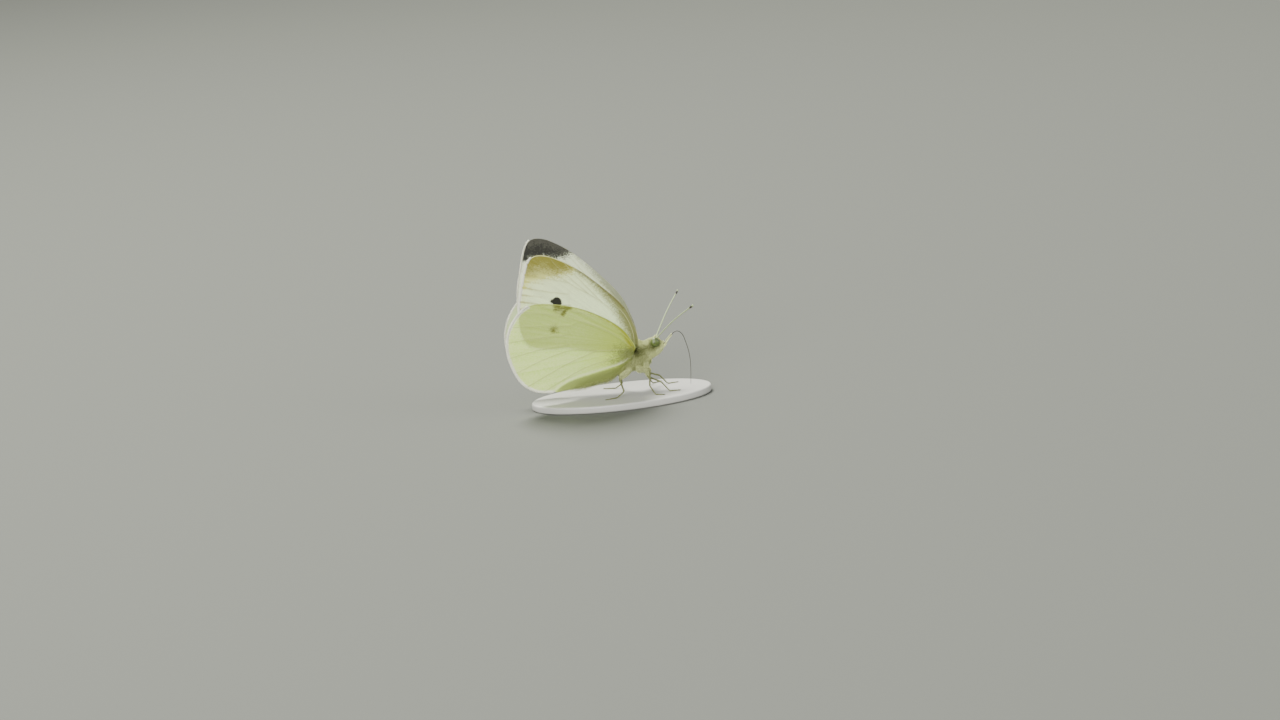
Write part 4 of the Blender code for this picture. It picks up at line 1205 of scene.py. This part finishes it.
def comb_skin(mesh, tubes, longest):
    """Give the skin the lie, lift, length, tone and amount of the coat at every point; the tone holds painted
    light and shade besides the markings.
    """
    points = mesh_points(mesh)
    keys, owner, found = near_parts(tubes, points)
    lie = np.zeros((len(points), 3))
    lift, tuft, tone = (np.zeros(len(points)) for _ in range(3))
    regions = {key: np.zeros(len(points)) for key in ("head", "thorax", "abdomen", "legs")}
    for k, key in enumerate(keys):
        mine = owner == k
        if not mine.any():
            continue
        tube = tubes[key]
        share, angle, ring = (value[mine] for value in found[key])
        top = np.sin(angle)
        forward = tube.forward[ring]
        if key == "body":
            up = tube.up[ring]
            outward = tube.across[ring] * np.cos(angle)[:, None]
            head = ease(share, NECK_SHARE - 0.01, NECK_SHARE + 0.02)
            breast = ease(share, WAIST_SHARE - 0.03, WAIST_SHARE + 0.02) * (1 - head)
            belly = 1 - np.maximum(head, breast)
            above, below = ease(top, 0.2, 0.8)[:, None], ease(-top, 0.1, 0.8)[:, None]
            crown = np.exp(-((share - CROWN_SHARE) / 0.018) ** 2)[:, None] * above
            onward = ease(share, NECK_SHARE + 0.02, CROWN_SHARE)[:, None] * 2 - 1
            on_head = (above * (up * (0.4 + 0.8 * crown) + forward * 0.5 * onward)
                       + below * (forward * (0.1 + 0.35 * onward) - up * 0.75)
                       + (1 - above - below) * (forward * 0.4 * onward - up * 0.5 + outward * 0.25))
            face = ease(share, 0.945, 0.975)[:, None]
            on_head = on_head * (1 - face) + (forward + up * 0.25) * face
            front = ease(share, 0.70, 0.80)[:, None]
            rise = top * (0.25 + 0.45 * front[:, 0]) - (0.2 + 0.4 * front[:, 0]) * (1 - np.abs(top))
            on_breast = -forward * (1 - 0.4 * front) + outward * 0.2 + up * rise[:, None]
            to_eye = np.array((EYE_PLACE.x, 0, EYE_PLACE.z)) - points[mine] * (1, 0, 1)
            eye = np.linalg.norm(to_eye, axis=1)
            at_eye = np.abs(points[mine][:, 1]) > 0.35
            shadow = (1 - ease(eye, EYE_RADIUS, EYE_RADIUS * 1.4)) * at_eye
            facing = (unit(on_head) * unit(to_eye)).sum(-1)
            rim = ease(eye, EYE_RADIUS * 0.9, EYE_RADIUS * 1.02)
            lash = (shadow * rim * 0.75 * ease(facing, -0.3, 0.4))[:, None]
            on_head = unit(on_head) * (1 - lash) + (unit(to_eye) * 0.8 + outward * 0.5) * lash
            lie[mine] = (head[:, None] * on_head + breast[:, None] * on_breast - belly[:, None] * forward)
            on_chin = below[:, 0]
            lift[mine] = ((0.45 - 0.16 * on_chin - 0.12 * face[:, 0]) * head
                          + (0.42 + 0.2 * front[:, 0]) * breast + 0.16 * belly)
            head_length = 0.55 + 0.5 * crown[:, 0] + 0.3 * on_chin - 0.27 * face[:, 0]
            belly_length = 0.42 + 0.3 * ease(share, 0.3, WAIST_SHARE) + 0.25 * ease(-share, -0.06, 0)
            breast_length = 1 + 0.3 * front[:, 0] * on_chin
            tuft[mine] = longest * (head * head_length * (1 - 0.35 * shadow) + breast * breast_length
                                    + belly * belly_length)
            # neck: painted shade in the neck, on its lower side
            neck = np.exp(-((share - NECK_SHARE) / 0.02) ** 2)
            bare = ease(eye, EYE_RADIUS * 0.72, EYE_RADIUS * 0.88)
            # Partly the dark scales at the wing roots, partly painted shade under the hinges.
            near_root = points[mine] - (WING_ROOT_SPOT[0], 0, WING_ROOT_SPOT[1])
            root_dark_and_shade = np.exp(-(near_root[:, 0] / 0.42) ** 2 - (near_root[:, 2] / 0.6) ** 2)
            root_dark_and_shade *= np.abs(points[mine][:, 1]) > 0.6
            frons = face[:, 0] * above[:, 0] * (1 - crown[:, 0])
            # painted shade along the crease behind the cheek
            fold = np.exp(-(gap_to_line(points[mine] * (1, 0, 1), smooth_line(NECK_CREASE_SHADE, 6)) / 0.42) ** 2)
            # Painted light: the top of the breast paler, as if lit from above.
            lit_top = ease(top, 0.4 * front[:, 0], 0.6 + 0.25 * front[:, 0])
            # The tone adds painted shade round the eye (shadow) and at the front of the breast, and is darker
            # on the frons.
            tone[mine] = (head * (0.36 + 0.16 * np.abs(top) + 0.35 * on_chin - 0.4 * shadow - 0.5 * frons
                                  - 0.2 * crown[:, 0])
                          + breast * (0.15 + 0.5 * lit_top - 0.05 * front[:, 0]) - 1.3 * root_dark_and_shade
                          + belly * (0.85 - 0.75 * ease(top, -0.1, 0.6)) - 0.2 * neck * ease(-top, -0.6, 0.1)
                          - 0.45 * fold * (1 - belly))
            regions["head"][mine] = (head > 0.5) * np.where(at_eye, bare, 1)
            regions["thorax"][mine] = (breast > 0.5)
            regions["abdomen"][mine] = (belly > 0.5)
        elif key.startswith("palp"):
            lie[mine] = forward + np.array((0.25, 0, -0.15))
            lift[mine] = 0.22 - 0.16 * share
            tuft[mine] = longest * (0.38 - 0.2 * share)
            tone[mine] = 0.85
            regions["legs"][mine] = 0.8
        else:
            lie[mine] = forward
            thigh = 1 - ease(share, 0.25, 0.45)
            lift[mine] = 0.18 + 0.3 * thigh
            tuft[mine] = longest * (0.15 + 0.5 * thigh * (1 - ease(share, 0.3, 0.4)))
            tone[mine] = 0.8 * thigh - 0.15
            regions["legs"][mine] = 1.0
    for key, value in (("lie", unit(lie)), ("lift", lift), ("tuft", tuft), ("tone", tone)):
        set_values(mesh, key, value)
    return regions


def make_coat(name, skin, amount, look, blade, material, seed):
    """Tufts rooted on a copy of the skin: look is (tufts per square mm, width, thickness, spread)."""
    made = link_object(name, skin.data.copy())
    set_values(made.data, "amount", amount)
    density, width, thickness, spread = look
    run_tree(made, get_tree("Tufts", build_tufts), {
        "Density": density, "Width": width, "Thickness": thickness, "Spread": spread, "Blade": blade,
        "Material": material, "Seed": seed, "Patch": OFBAKE_PATCH})
    for key in ("lie", "lift", "tuft", "amount", "skin_place", "blade_place"):
        found = made.data.attributes.get(key)
        if found:
            made.data.attributes.remove(found)
    made.data.polygons.foreach_set("use_smooth", np.ones(len(made.data.polygons), bool))
    return made


# ---------------------------------------------------------------- small parts
def make_antenna(side_name, radius, club_radius, material, segment):
    """An antenna as a row of short cupped segments along its arch, widening into a flat club."""
    side = SIDES[side_name]
    root, tip = (np.array((x, side * y, z)) for x, y, z in (ANTENNA_ROOT, ANTENNA_TIPS[side_name]))
    middle = (root + tip) / 2 + (0, 0, ANTENNA_BOW)
    line = smooth_line((root, middle, tip))
    shares = np.linspace(0, 1, ANTENNA_SEGMENTS + 1)
    points = along(line, shares)
    step = np.diff(points, axis=0)
    at = (shares[:-1] + shares[1:]) / 2
    thick = np.interp(at, (0, 0.03, 0.06, 0.86), (1.7, 1.5, 1.0, 0.9)) * radius
    swelling = np.interp(at, (0.86, 0.9, 0.94, 0.975, 1.0), (0, 0.2, 0.9, 1.0, 0.3))
    thick = thick * (1 - swelling) + club_radius * swelling
    flat = np.where(at > 0.9, 0.75, 1.0)
    across = np.cross(unit(step), (0.0, 0.0, 1.0))
    shade = np.interp(at, (0, 0.05, 0.1, 0.9, 0.935, 0.975, 0.99), (0.35, 0.12, 0.05, 0.05, 1, 1, -0.3))
    values = {"along": step, "facing": across, "shade": shade,
              "size": np.stack((thick, thick * flat, np.linalg.norm(step, axis=1) * 1.1), axis=1)}
    made = make_object("antenna_" + side_name + "_segments", points[:-1], [], [], values)
    run_tree(made, get_tree("Row", build_row), {"Piece": segment, "Material": material})
    return made


def make_root_coat(wing, membrane, longest, blade, material, seed):
    """Long soft hair over the root of a wing and along the hindwing's inner edge, on both faces."""
    bm = bmesh.new()
    bm.from_mesh(membrane.data)
    mesh = bpy.data.meshes.new(wing.name + "_root")
    bm.to_mesh(mesh)
    bm.free()
    count = wing.flat.shape[0] * wing.flat.shape[1]
    sheet = np.tile(wing.sheet.reshape(-1, 3), (2, 1))
    under = np.arange(len(sheet)) < count
    reach = np.hypot(sheet[:, 0] - 0.4, sheet[:, 1])
    hinge = wing.place(np.array(((-0.8, 0.6, 0.0),)))[0]
    lie = unit(mesh_points(mesh) - hinge)
    spread = 2.6 if wing.pair == "forewing" else 4.2
    amount = (1 - ease(reach, spread * 0.1, spread)) ** 1.6
    if wing.pair == "hindwing":
        amount *= ease(-sheet[:, 1], -1.0, 0.2)
    tuft = longest * (0.85 - 0.4 * ease(reach, 0.5, spread))
    lift = 0.2 - 0.14 * ease(reach, 0.5, spread)
    if wing.pair == "hindwing":
        edge = gap_to_line(sheet, smooth_line(FOLD_EDGE, 4))
        hairy = (1 - ease(edge, 0.15, 0.7)) * (1 - ease(reach, 9, 14))
        down = -wing_axes(wing.side)[1] - wing_axes(wing.side)[2] * 0.25
        lie = np.where((hairy > amount)[:, None], unit(lie * 0.7 + down), lie)
        tuft = np.where(hairy > amount, longest * 0.75, tuft)
        amount = np.maximum(amount, hairy * 0.7)
    amount = np.where(under, amount, amount * 0.7)
    tone = 0.25 + 0.45 * ease(reach, 0.4, 3.0)
    for key, value in (("lie", lie), ("lift", lift), ("tuft", tuft), ("tone", tone)):
        set_values(mesh, key, value)
    layer = mesh.uv_layers.get("sheet")
    layer.name = "skin_place"
    holder = link_object(wing.name + "_root", mesh)
    coat = make_coat("coat_" + wing.name, holder, amount, ROOT_LOOK, blade, material, seed)
    bpy.data.objects.remove(holder)
    floats = [value.name for value in coat.data.attributes if value.data_type == "FLOAT"]
    for key in floats:
        if key not in ("tone", "each", "tip"):
            coat.data.attributes.remove(coat.data.attributes[key])
    return coat


def make_segment(name):
    """One segment of an antenna, a unit long along Z: a narrow foot that opens to a rounded cup."""
    profile = ((0.0, 0.6), (0.02, 0.88), (0.12, 0.94), (0.5, 0.98), (0.85, 1.02), (0.97, 0.95), (1.0, 0.6))
    sides = 14
    turn = np.linspace(0, 2 * math.pi, sides, endpoint=False)
    points = [(r * math.cos(a), r * math.sin(a), z) for z, r in profile for a in turn]
    points += [(0, 0, 0), (0, 0, 1.0)]
    joint = [0.45 if z < 0.06 else 0.15 if z < 0.2 else 0.0 for z, r in profile for a in turn] + [0.45, 0.0]
    made = make_shell(name, points, capped_faces(len(profile), sides), [], {"joint": joint})
    made.hide_render = True
    return made


def make_eye(side_name, material):
    """A domed compound eye."""
    side = SIDES[side_name]
    bm = bmesh.new()
    bmesh.ops.create_icosphere(bm, subdivisions=5, radius=1)
    for vert in bm.verts:
        x, y, z = vert.co
        deep = EYE_BULGE if z > 0 else 0.32
        vert.co = Vector((EYE_PLACE.x + EYE_RADIUS * x, side * (EYE_PLACE.y + deep * z), EYE_PLACE.z
                          + EYE_RADIUS * 1.02 * y))
    mesh = bpy.data.meshes.new("compound_eye_" + side_name)
    bm.to_mesh(mesh)
    bm.free()
    mesh.materials.append(material)
    made = link_object(mesh.name, mesh)
    face_outwards(mesh)
    mesh.polygons.foreach_set("use_smooth", np.ones(len(mesh.polygons), bool))
    return made


def make_proboscis(radius, material):
    """The drinking tube: ringed, with a groove down each side where its halves meet."""
    line = along(smooth_line([(x, 0, z) for x, z in PROBOSCIS]), np.linspace(0, 1, 420))
    share = np.linspace(0, 1, 420)
    size = radius * np.interp(share, (0, 0.1, 0.7, 0.97, 1), (1.35, 1.1, 0.85, 0.6, 0.3))
    size *= 1 - 0.09 * np.abs(np.cos(math.pi * share * 110)) ** 3
    tube = Tube(line, size, size * 0.86, sides=16, level=True)
    rings = tube.points[:-2].reshape(len(line), 16, 3)
    centre = line[:, None]
    angle = np.linspace(0, 2 * math.pi, 16, endpoint=False)
    pinch = 1 - 0.22 * np.abs(np.sin(angle)) ** 12
    tube.points[:-2] = (centre + (rings - centre) * pinch[None, :, None]).reshape(-1, 3)
    return make_shell("proboscis_tube", tube.points, tube.faces, [material])


def make_claws(material):
    """A pair of hooked claws on each foot."""
    tubes = []
    for side in SIDES.values():
        for leg_name in LEG_NAMES:
            sole, toe = (np.array((x, y * side, z)) for x, y, z in LEGS[leg_name][-2:])
            forward = unit(toe - sole)
            across = np.cross(forward, (0, 0, 1.0))
            for hand in (-1, 1):
                hook = smooth_line((toe - forward * 0.04 + across * 0.015 * hand,
                                    toe + forward * 0.08 + across * 0.07 * hand + (0, 0, 0.05),
                                    toe + forward * 0.18 + across * 0.09 * hand + (0, 0, 0.01),
                                    toe + forward * 0.21 + across * 0.09 * hand + (0, 0, -0.05)), 5)
                tubes.append(Tube(hook, np.linspace(0.03, 0.006, len(hook)), sides=8))
    return make_shell("claws", *join_tubes(tubes), [material])


# Each wing-root lobe, left side: three points of its line, its radius at each end and its height.
ROOT_PLATES = (
    ((-0.2, 0.8, -0.3), (-0.5, 1.1, -0.1), (-0.8, 1.4, 0.1), 0.26, 0.17, 1.6),
    ((-0.8, 0.7, -0.9), (-1.2, 1.1, -1.05), (-1.8, 1.35, -1.2), 0.26, 0.12, 1.2),
)
TEGULA = (((0.1, 0.7, 0.1), (-0.05, 1.2, 0.33), (-0.25, 1.68, 0.45), 0.52, 0.36, 0.6),)


def make_root_lobes(name, lobes, material):
    """Small lobes between the breast and each wing: its hinge plates, or the cap on its front corner."""
    tubes = []
    for side in SIDES.values():
        for start, middle, end, thick, thin, tall in lobes:
            line = smooth_line([(x, y * side, z) for x, y, z in (start, middle, end)], 12)
            share = np.linspace(0, 1, len(line))
            rounded = np.sqrt(np.clip(1 - ((share - 0.45) / 0.56) ** 4, 0.02, 1))
            size = (thick * (1 - share) + thin * share) * rounded
            tubes.append(Tube(line, size, size * tall, sides=16, level=True))
    return make_shell(name, *join_tubes(tubes), [material])


def make_plate(material):
    """The oval display plate with softly rounded edges, filling the solid's box."""
    sides = 200
    centre = (PLATE_LOW + PLATE_HIGH) / 2
    half = (PLATE_HIGH - PLATE_LOW) / 2 / MM
    middle = (centre - HINGE) / MM
    turn = np.linspace(0, 2 * math.pi, sides, endpoint=False)
    rounding = 0.3
    profile = [(half.z - rounding * (1 - math.sin(a)), rounding * (1 - math.cos(a)))
               for a in np.linspace(math.pi / 2, 0, 7)]
    profile += [(-z, inset) for z, inset in profile[::-1]]
    rings = profile[:1] * 2 + profile + profile[-1:] * 2
    shrink = [0.5, 0.94] + [1.0] * len(profile) + [0.94, 0.5]
    points = []
    for (z, inset), part in zip(rings, shrink):
        points += [(middle.x + (half.x - inset) * part * math.cos(a),
                    middle.y + (half.y - inset) * part * math.sin(a), middle.z + z) for a in turn]
    points += [(middle.x, middle.y, middle.z + z) for z in (rings[0][0], rings[-1][0])]
    return make_shell("display_plate", points, capped_faces(len(rings), sides), [material])


# ---------------------------------------------------------------- operators
# Blades are a unit long: (height, half width, bend) at each ring.
LONG_BLADE = ((0, 0.4, 0), (0.35, 0.5, 1.4), (0.75, 0.35, 1.2), (1, 0, 0))
SHORT_BLADE = ((0, 0.4, 0), (0.55, 0.5, 1.0), (1, 0, 0))
FRINGE_BLADE = ((0, 0.35, 0), (0.45, 0.5, 0.1), (0.85, 0.42, 0.0), (1, 0, -0.1))
# Each coat's look: tufts per square mm, width, thickness and spread of a tuft, and whether it is long.
COAT_LOOKS = {
    "head": ((330, 0.05, 0.025, 0.3), True),
    "thorax": ((240, 0.055, 0.03, 0.28), True),
    "abdomen": ((190, 0.09, 0.03, 0.14), False),
    "legs": ((230, 0.04, 0.02, 0.2), False),
}
ROOT_LOOK = (150, 0.034, 0.02, 0.16)            # the wing roots: the same four numbers
FRINGE_STEP = 0.034             # mm between fringe scales
FRINGE_WIDTHS = (0.06, 0.1)     # mm
FRINGE_THICKNESS = 0.025        # mm


def wing_materials(colours):
    """The under and upper scales of both pairs of wings."""
    dusky = ("root", -0.6, 2.6, 1.6, 0.45, colours.dusting)
    veined = ("on_vein", 0.3, 1.2, 0.2, 0.3, colours.vein)
    fore_under = (
        ("far", 0.0, 9.0, 1.5, 0.3, linear("cfcf98")), ("margin", 0.2, 2.2, 1.2, 0.4, linear("e6e2a0")),
        # painted highlight: a near-white line along the outer margin for the backlit edge
        ("margin", 1.15, 1.4, 0.15, 0.6, linear("fffef2")),
        veined, dusky,
        ("streak", 0.12, 0.8, 0.35, 0.6, linear("a39a55")),
        ("costa", -0.9, 0.9, 0.7, 0.9, linear("7f8043")),
        ("edge_line", -0.12, 0.06, 0.1, 0.45, linear("665d30")),
        ("tip", -0.7, 0.6, 0.9, 0.75, linear("cfcc66")),
        ("tip_core", -0.9, 1.4, 1.4, 0.8, colours.under_tip),
        ("faint", -0.14, 0.16, 0.3, 0.7, colours.spot),
        ("spot", -0.06, 0.08, 0.16, 0.97, colours.spot))
    hind_under = (
        ("margin", 0.2, 2.4, 1.4, 0.2, linear("f3efcc")),
        ("root", -9.0, 1.0, 1.2, 0.74, linear("cddf5a")),
        # painted shade: deeper yellow-green where the forewing lies behind and blocks the light through the
        # hindwing
        ("covered", -0.05, 0.12, 0.05, 0.42, linear("c0cb58")), veined,
        # painted shadow of the forewing's spots seen through the hindwing
        ("ghost", -0.25, 0.42, 0.35, 0.85, linear("6d6a24")),
        ("dusky", -0.8, 2.2, 1.8, 0.7, colours.dusting),
        # painted highlight along the crease
        ("ridge", 0.0, 0.45, 0.3, 0.6, linear("f6f8d6")),
        # painted shade: the tucked strip faces down, and its darker olive stands in for the shade it lies in
        ("tucked", -0.05, 0.25, 0.1, 0.75, linear("9fa75c")),
        ("costa", -0.35, 0.45, 0.3, 0.9, colours.root_yellow),
        # painted highlight: a near-white line along the outer margin for the backlit edge
        ("margin", 1.15, 1.4, 0.15, 0.9, linear("fffef2")))
    fore_upper = (
        veined, ("root", -0.6, 3.0, 2.4, 0.6, colours.dusting),
        ("costa", -0.3, 0.6, 0.7, 0.6, linear("7f8054")),
        ("tip_upper", -0.5, 0.9, 1.0, 0.985, colours.upper_tip),
        ("rim_tip", -0.4, 1.5, 1.8, 0.28, linear("7b7a6d")),
        ("spot", -0.1, 0.12, 0.3, 0.9, colours.spot),
        ("faint", -0.1, 0.14, 0.35, 0.8, colours.spot))
    hind_upper = (
        veined, ("root", -0.6, 3.2, 2.4, 0.45, colours.dusting),
        ("spot_upper", -0.15, 0.15, 0.3, 0.85, colours.spot))
    return {
        "forewing": (scale_material("fore_underside_scales", colours.under_white, fore_under, 0.45),
                     scale_material("fore_upperside_scales", colours.upper_white, fore_upper, 0.45)),
        "hindwing": (scale_material("hind_underside_scales", colours.under_yellow, hind_under, 0.5,
                                    (0.8, 0.9, 0.5)),
                     scale_material("hind_upperside_scales", linear("cfd9b0"), hind_upper, 0.5)),
    }


class MakeWings(bpy.types.Operator):
    """Membranes, root hair, veins and fringes of the four wings"""
    bl_idname = "butterfly.wings"
    bl_label = "Wings"

    def execute(self, context):
        sizes, colours = context.scene.butterfly_sizes, context.scene.butterfly_colours
        rng = np.random.default_rng(sizes.seed)
        materials = wing_materials(colours)
        veins = {"forewing": antenna_material("fore_vein_cuticle", colours.vein, linear("635a2e")),
                 "hindwing": antenna_material("hind_vein_cuticle", linear("b9c66c"), linear("635a2e"))}
        fringe = hair_material("fringe_scales", colours.fringe, linear("f4f3e0"), 0.25)
        scale_blade = make_blade("fringe_blade", FRINGE_BLADE)
        hair = hair_material("root_hair", linear("c3cb7e"), linear("6f793c"), 0.35)
        hair_blade = make_blade("root_hair_blade", LONG_BLADE)
        for pair in ("forewing", "hindwing"):
            for side_name in SIDES:
                wing = Wing(pair, side_name)
                membrane = make_membrane(wing, sizes.wing_thickness / MM, materials[pair])
                coat = make_root_coat(wing, membrane, sizes.hair_length / MM, hair_blade, hair, sizes.seed)
                finish_piece(membrane, "wing", wing.name)
                finish_piece(coat, "wing")
                finish_piece(make_veins(wing, sizes.vein_radius / MM, veins[pair]), "wing")
                finish_piece(make_fringe(wing, sizes.fringe_length / MM, fringe, scale_blade, rng), "wing")
        bpy.data.objects.remove(scale_blade)
        bpy.data.objects.remove(hair_blade)
        return {"FINISHED"}


class MakeBody(bpy.types.Operator):
    """The skin with its legs and palps, and the coat of scales and hair in four lengths"""
    bl_idname = "butterfly.body"
    bl_label = "Body and coat"

    def execute(self, context):
        sizes, colours = context.scene.butterfly_sizes, context.scene.butterfly_colours
        tubes = {"body": body_tube()}
        for side_name, side in SIDES.items():
            for leg_name in LEG_NAMES:
                tubes["leg_" + leg_name + "_" + side_name] = leg_tube(leg_name, side)
        for side_name, side in SIDES.items():
            tubes["palp_" + side_name] = palp_tube(side)
        cuticle = skin_material("body_cuticle", colours.hair_pale, colours.hair_dark, colours.skin)
        skin = join_skin(tubes, cuticle)
        unroll_skin(skin.data, tubes)
        regions = comb_skin(skin.data, tubes, sizes.hair_length / MM)
        hair = hair_material("scale_hair", colours.hair_pale, colours.hair_dark)
        leg_hair = hair_material("leg_scales", colours.hair_pale, linear("55592f"), 0.15)
        long_blade = make_blade("hair_blade", LONG_BLADE)
        short_blade = make_blade("scale_blade", SHORT_BLADE)
        coats = []
        for k, (region, (look, long)) in enumerate(COAT_LOOKS.items()):
            coats.append(make_coat("coat_" + region, skin, regions[region], look,
                                   long_blade if long else short_blade,
                                   leg_hair if region == "legs" else hair, sizes.seed + k))
        for blade in (long_blade, short_blade):
            bpy.data.objects.remove(blade)
        limbs = [key.replace("leg_", "").split("_") for key in tubes if key.startswith("leg_")]
        nodes = ["head", "thorax", "abdomen", "palp_left", "palp_right"]
        nodes += [f"leg_{leg}_{side}_{part}" for leg, side in limbs for part in ("femur", "tibia", "foot")]
        finish_piece(skin, "body", *nodes)
        for coat in coats:
            finish_piece(coat, "body")
        return {"FINISHED"}


class MakeHorn(bpy.types.Operator):
    """Eyes, antennae, proboscis, claws and the small lobes at the wing roots"""
    bl_idname = "butterfly.horn"
    bl_label = "Eyes, antennae, proboscis and claws"

    def execute(self, context):
        sizes, colours = context.scene.butterfly_sizes, context.scene.butterfly_colours
        facets = eye_material("eye_facets", colours.eye)
        for side_name in SIDES:
            finish_piece(make_eye(side_name, facets), "eye", "eye_" + side_name)
        scales = antenna_material("antenna_scales", colours.antenna_pale, colours.antenna_dark)
        segment = make_segment("antenna_segment")
        for side_name in SIDES:
            radii = sizes.antenna_radius / MM, sizes.club_radius / MM
            antenna = make_antenna(side_name, *radii, scales, segment)
            finish_piece(antenna, "feeler", "antenna_" + side_name, "antenna_club_" + side_name)
        bpy.data.objects.remove(segment)
        tongue = horn_material("proboscis_cuticle", colours.proboscis, linear("27221d"), 0.3, 0.4, 0.2)
        finish_piece(make_proboscis(sizes.proboscis_radius / MM, tongue), "proboscis",
                     "proboscis_base", "proboscis_arch", "proboscis_tip")
        horn = horn_material("dark_cuticle", linear("3f3a2a"), linear("241f16"), 0.2, 0.55, 0.0)
        finish_piece(make_claws(horn), "leg")
        roots = horn_material("root_cuticle", linear("54512f"), linear("353221"), 0.2, 0.7, 0.0)
        finish_piece(make_root_lobes("wing_roots", ROOT_PLATES, roots), "body")
        cap = horn_material("tegula_scales", linear("b3b780"), linear("8a8e5c"), 0.12, 0.8, 0.0)
        finish_piece(make_root_lobes("tegulae", TEGULA, cap), "body")
        return {"FINISHED"}


class MakeStand(bpy.types.Operator):
    """The oval display plate"""
    bl_idname = "butterfly.stand"
    bl_label = "Display plate"

    def execute(self, context):
        colours = context.scene.butterfly_colours
        plate = make_plate(lacquer_material("satin_lacquer", colours.plate))
        finish_piece(plate, "plate", "stand_plate")
        return {"FINISHED"}


# ---------------------------------------------------------------- stage
CAMERA_AZIMUTH = -1.41          # degrees
CAMERA_ELEVATION = 12.0
CAMERA_ROLL = -6.2
CAMERA_PLACE = (-14.06, -577.49, 120.39)    # mm from the hinges
CAMERA_LENS = 100               # mm
SENSOR_WIDTH = 36
FLOOR_SIZE = 8.0                # metres
LAMP_TARGET = (-0.008, 0, 0.004)             # metres from the hinges
# Each lamp: place in metres, size in metres, power in watts and colour.
LAMPS = {
    "key_above_behind": ((-0.25, 0.42, 0.95), 0.5, 40, (1.0, 1.0, 0.93)),
    "fill_front": ((-0.45, -0.95, 0.45), 0.9, 24, (1.0, 1.0, 0.97)),
    "side_front": ((0.9, -0.45, 0.5), 0.7, 8, (0.97, 0.99, 1.0)),
}
AIR_COLOUR = "eef1ee"
AIR_STRENGTH = 0.45
PAPER_FIBRE = 2.5               # mm between the soft ripples of the paper


def add_light(name, place, aim, size, power, colour):
    """A soft square lamp at a place in metres that shines at a point."""
    lamp = bpy.data.lights.new(name, "AREA")
    lamp.shape = "SQUARE"
    lamp.size = size
    lamp.energy = power
    lamp.color = colour
    made = link_object(name, lamp)
    made.location = place
    made.rotation_euler = (aim - Vector(place)).to_track_quat("-Z", "Y").to_euler()
    return made


def camera_turn():
    """The camera's axes from its azimuth, elevation and roll."""
    azimuth, elevation, roll = (math.radians(a) for a in (CAMERA_AZIMUTH, CAMERA_ELEVATION, CAMERA_ROLL))
    back = Vector((math.sin(azimuth) * math.cos(elevation), -math.cos(azimuth) * math.cos(elevation),
                   math.sin(elevation)))
    right = Vector((0, 0, 1)).cross(back).normalized()
    up = back.cross(right)
    turned_right = right * math.cos(roll) + up * math.sin(roll)
    turned_up = up * math.cos(roll) - right * math.sin(roll)
    return Matrix((turned_right, turned_up, back)).transposed().to_4x4()


class MakeStage(bpy.types.Operator):
    """Floor, soft studio light and camera"""
    bl_idname = "butterfly.stage"
    bl_label = "Stage"

    def execute(self, context):
        colours = context.scene.butterfly_colours
        half = FLOOR_SIZE / 2
        corners = [(x * half, y * half, PLATE_LOW.z) for x, y in ((-1, -1), (1, -1), (1, 1), (-1, 1))]
        material, tree = new_material("studio_paper")
        place = add_node(tree, "TexCoord")
        fibre = add_node(tree, "TexNoise", {}, {"Scale": 1 / (PAPER_FIBRE * MM), "Detail": 3.0},
                         {"Vector": place.outputs["Object"]})
        bump = add_node(tree, "Bump", {}, {"Strength": 0.05, "Distance": 0.00005},
                        {"Height": fibre.outputs["Fac"]})
        paper = add_node(tree, "BsdfPrincipled", {},
                         {"Base Color": (*colours.floor, 1), "Roughness": 0.85}, {"Normal": bump})
        with_surface(material, paper)
        make_object("studio_floor", corners, [(0, 1, 2, 3)], [material])
        for name, (place, size, power, colour) in LAMPS.items():
            add_light(name, place, HINGE + Vector(LAMP_TARGET), size, power, colour)
        world = bpy.data.worlds.new("studio_air")
        world.use_nodes = True
        air = world.node_tree.nodes["Background"]
        air.inputs["Color"].default_value = (*linear(AIR_COLOUR), 1)
        air.inputs["Strength"].default_value = AIR_STRENGTH
        context.scene.world = world
        camera = bpy.data.cameras.new("camera")
        camera.lens = CAMERA_LENS
        camera.sensor_width = SENSOR_WIDTH
        camera.clip_start = 0.01
        camera.clip_end = 20
        camera.dof.use_dof = False
        made = link_object("camera", camera)
        made.matrix_world = Matrix.Translation(HINGE + Vector(CAMERA_PLACE) * MM) @ camera_turn()
        context.scene.camera = made
        return {"FINISHED"}


class ButterflyPanel(bpy.types.Panel):
    """Buttons for the pieces, with their sizes and colours"""
    bl_idname = "BUTTERFLY_PT_pieces"
    bl_label = "Small white butterfly"
    bl_space_type = "VIEW_3D"
    bl_region_type = "UI"
    bl_category = "Butterfly"

    def draw(self, context):
        for step in STEPS:
            self.layout.operator(step.bl_idname)
        for group in (context.scene.butterfly_sizes, context.scene.butterfly_colours):
            box = self.layout.box()
            for key in group.bl_rna.properties.keys():
                if key not in ("rna_type", "name"):
                    box.prop(group, key)


STEPS = (MakeStage, MakeStand, MakeWings, MakeBody, MakeHorn)
CLASSES = (ButterflySizes, ButterflyColours, *STEPS, ButterflyPanel)


def register():
    """Register the add-on's classes and its settings on the scene."""
    for cls in CLASSES:
        bpy.utils.register_class(cls)
    bpy.types.Scene.butterfly_sizes = PointerProperty(type=ButterflySizes)
    bpy.types.Scene.butterfly_colours = PointerProperty(type=ButterflyColours)


def unregister():
    """Take the settings and the classes away again."""
    del bpy.types.Scene.butterfly_colours
    del bpy.types.Scene.butterfly_sizes
    for cls in reversed(CLASSES):
        bpy.utils.unregister_class(cls)


def main():
    """Build every piece in order."""
    register()
    for step in STEPS:
        group, name = step.bl_idname.split(".")
        getattr(getattr(bpy.ops, group), name)()


if __name__ == "__main__":
    main()
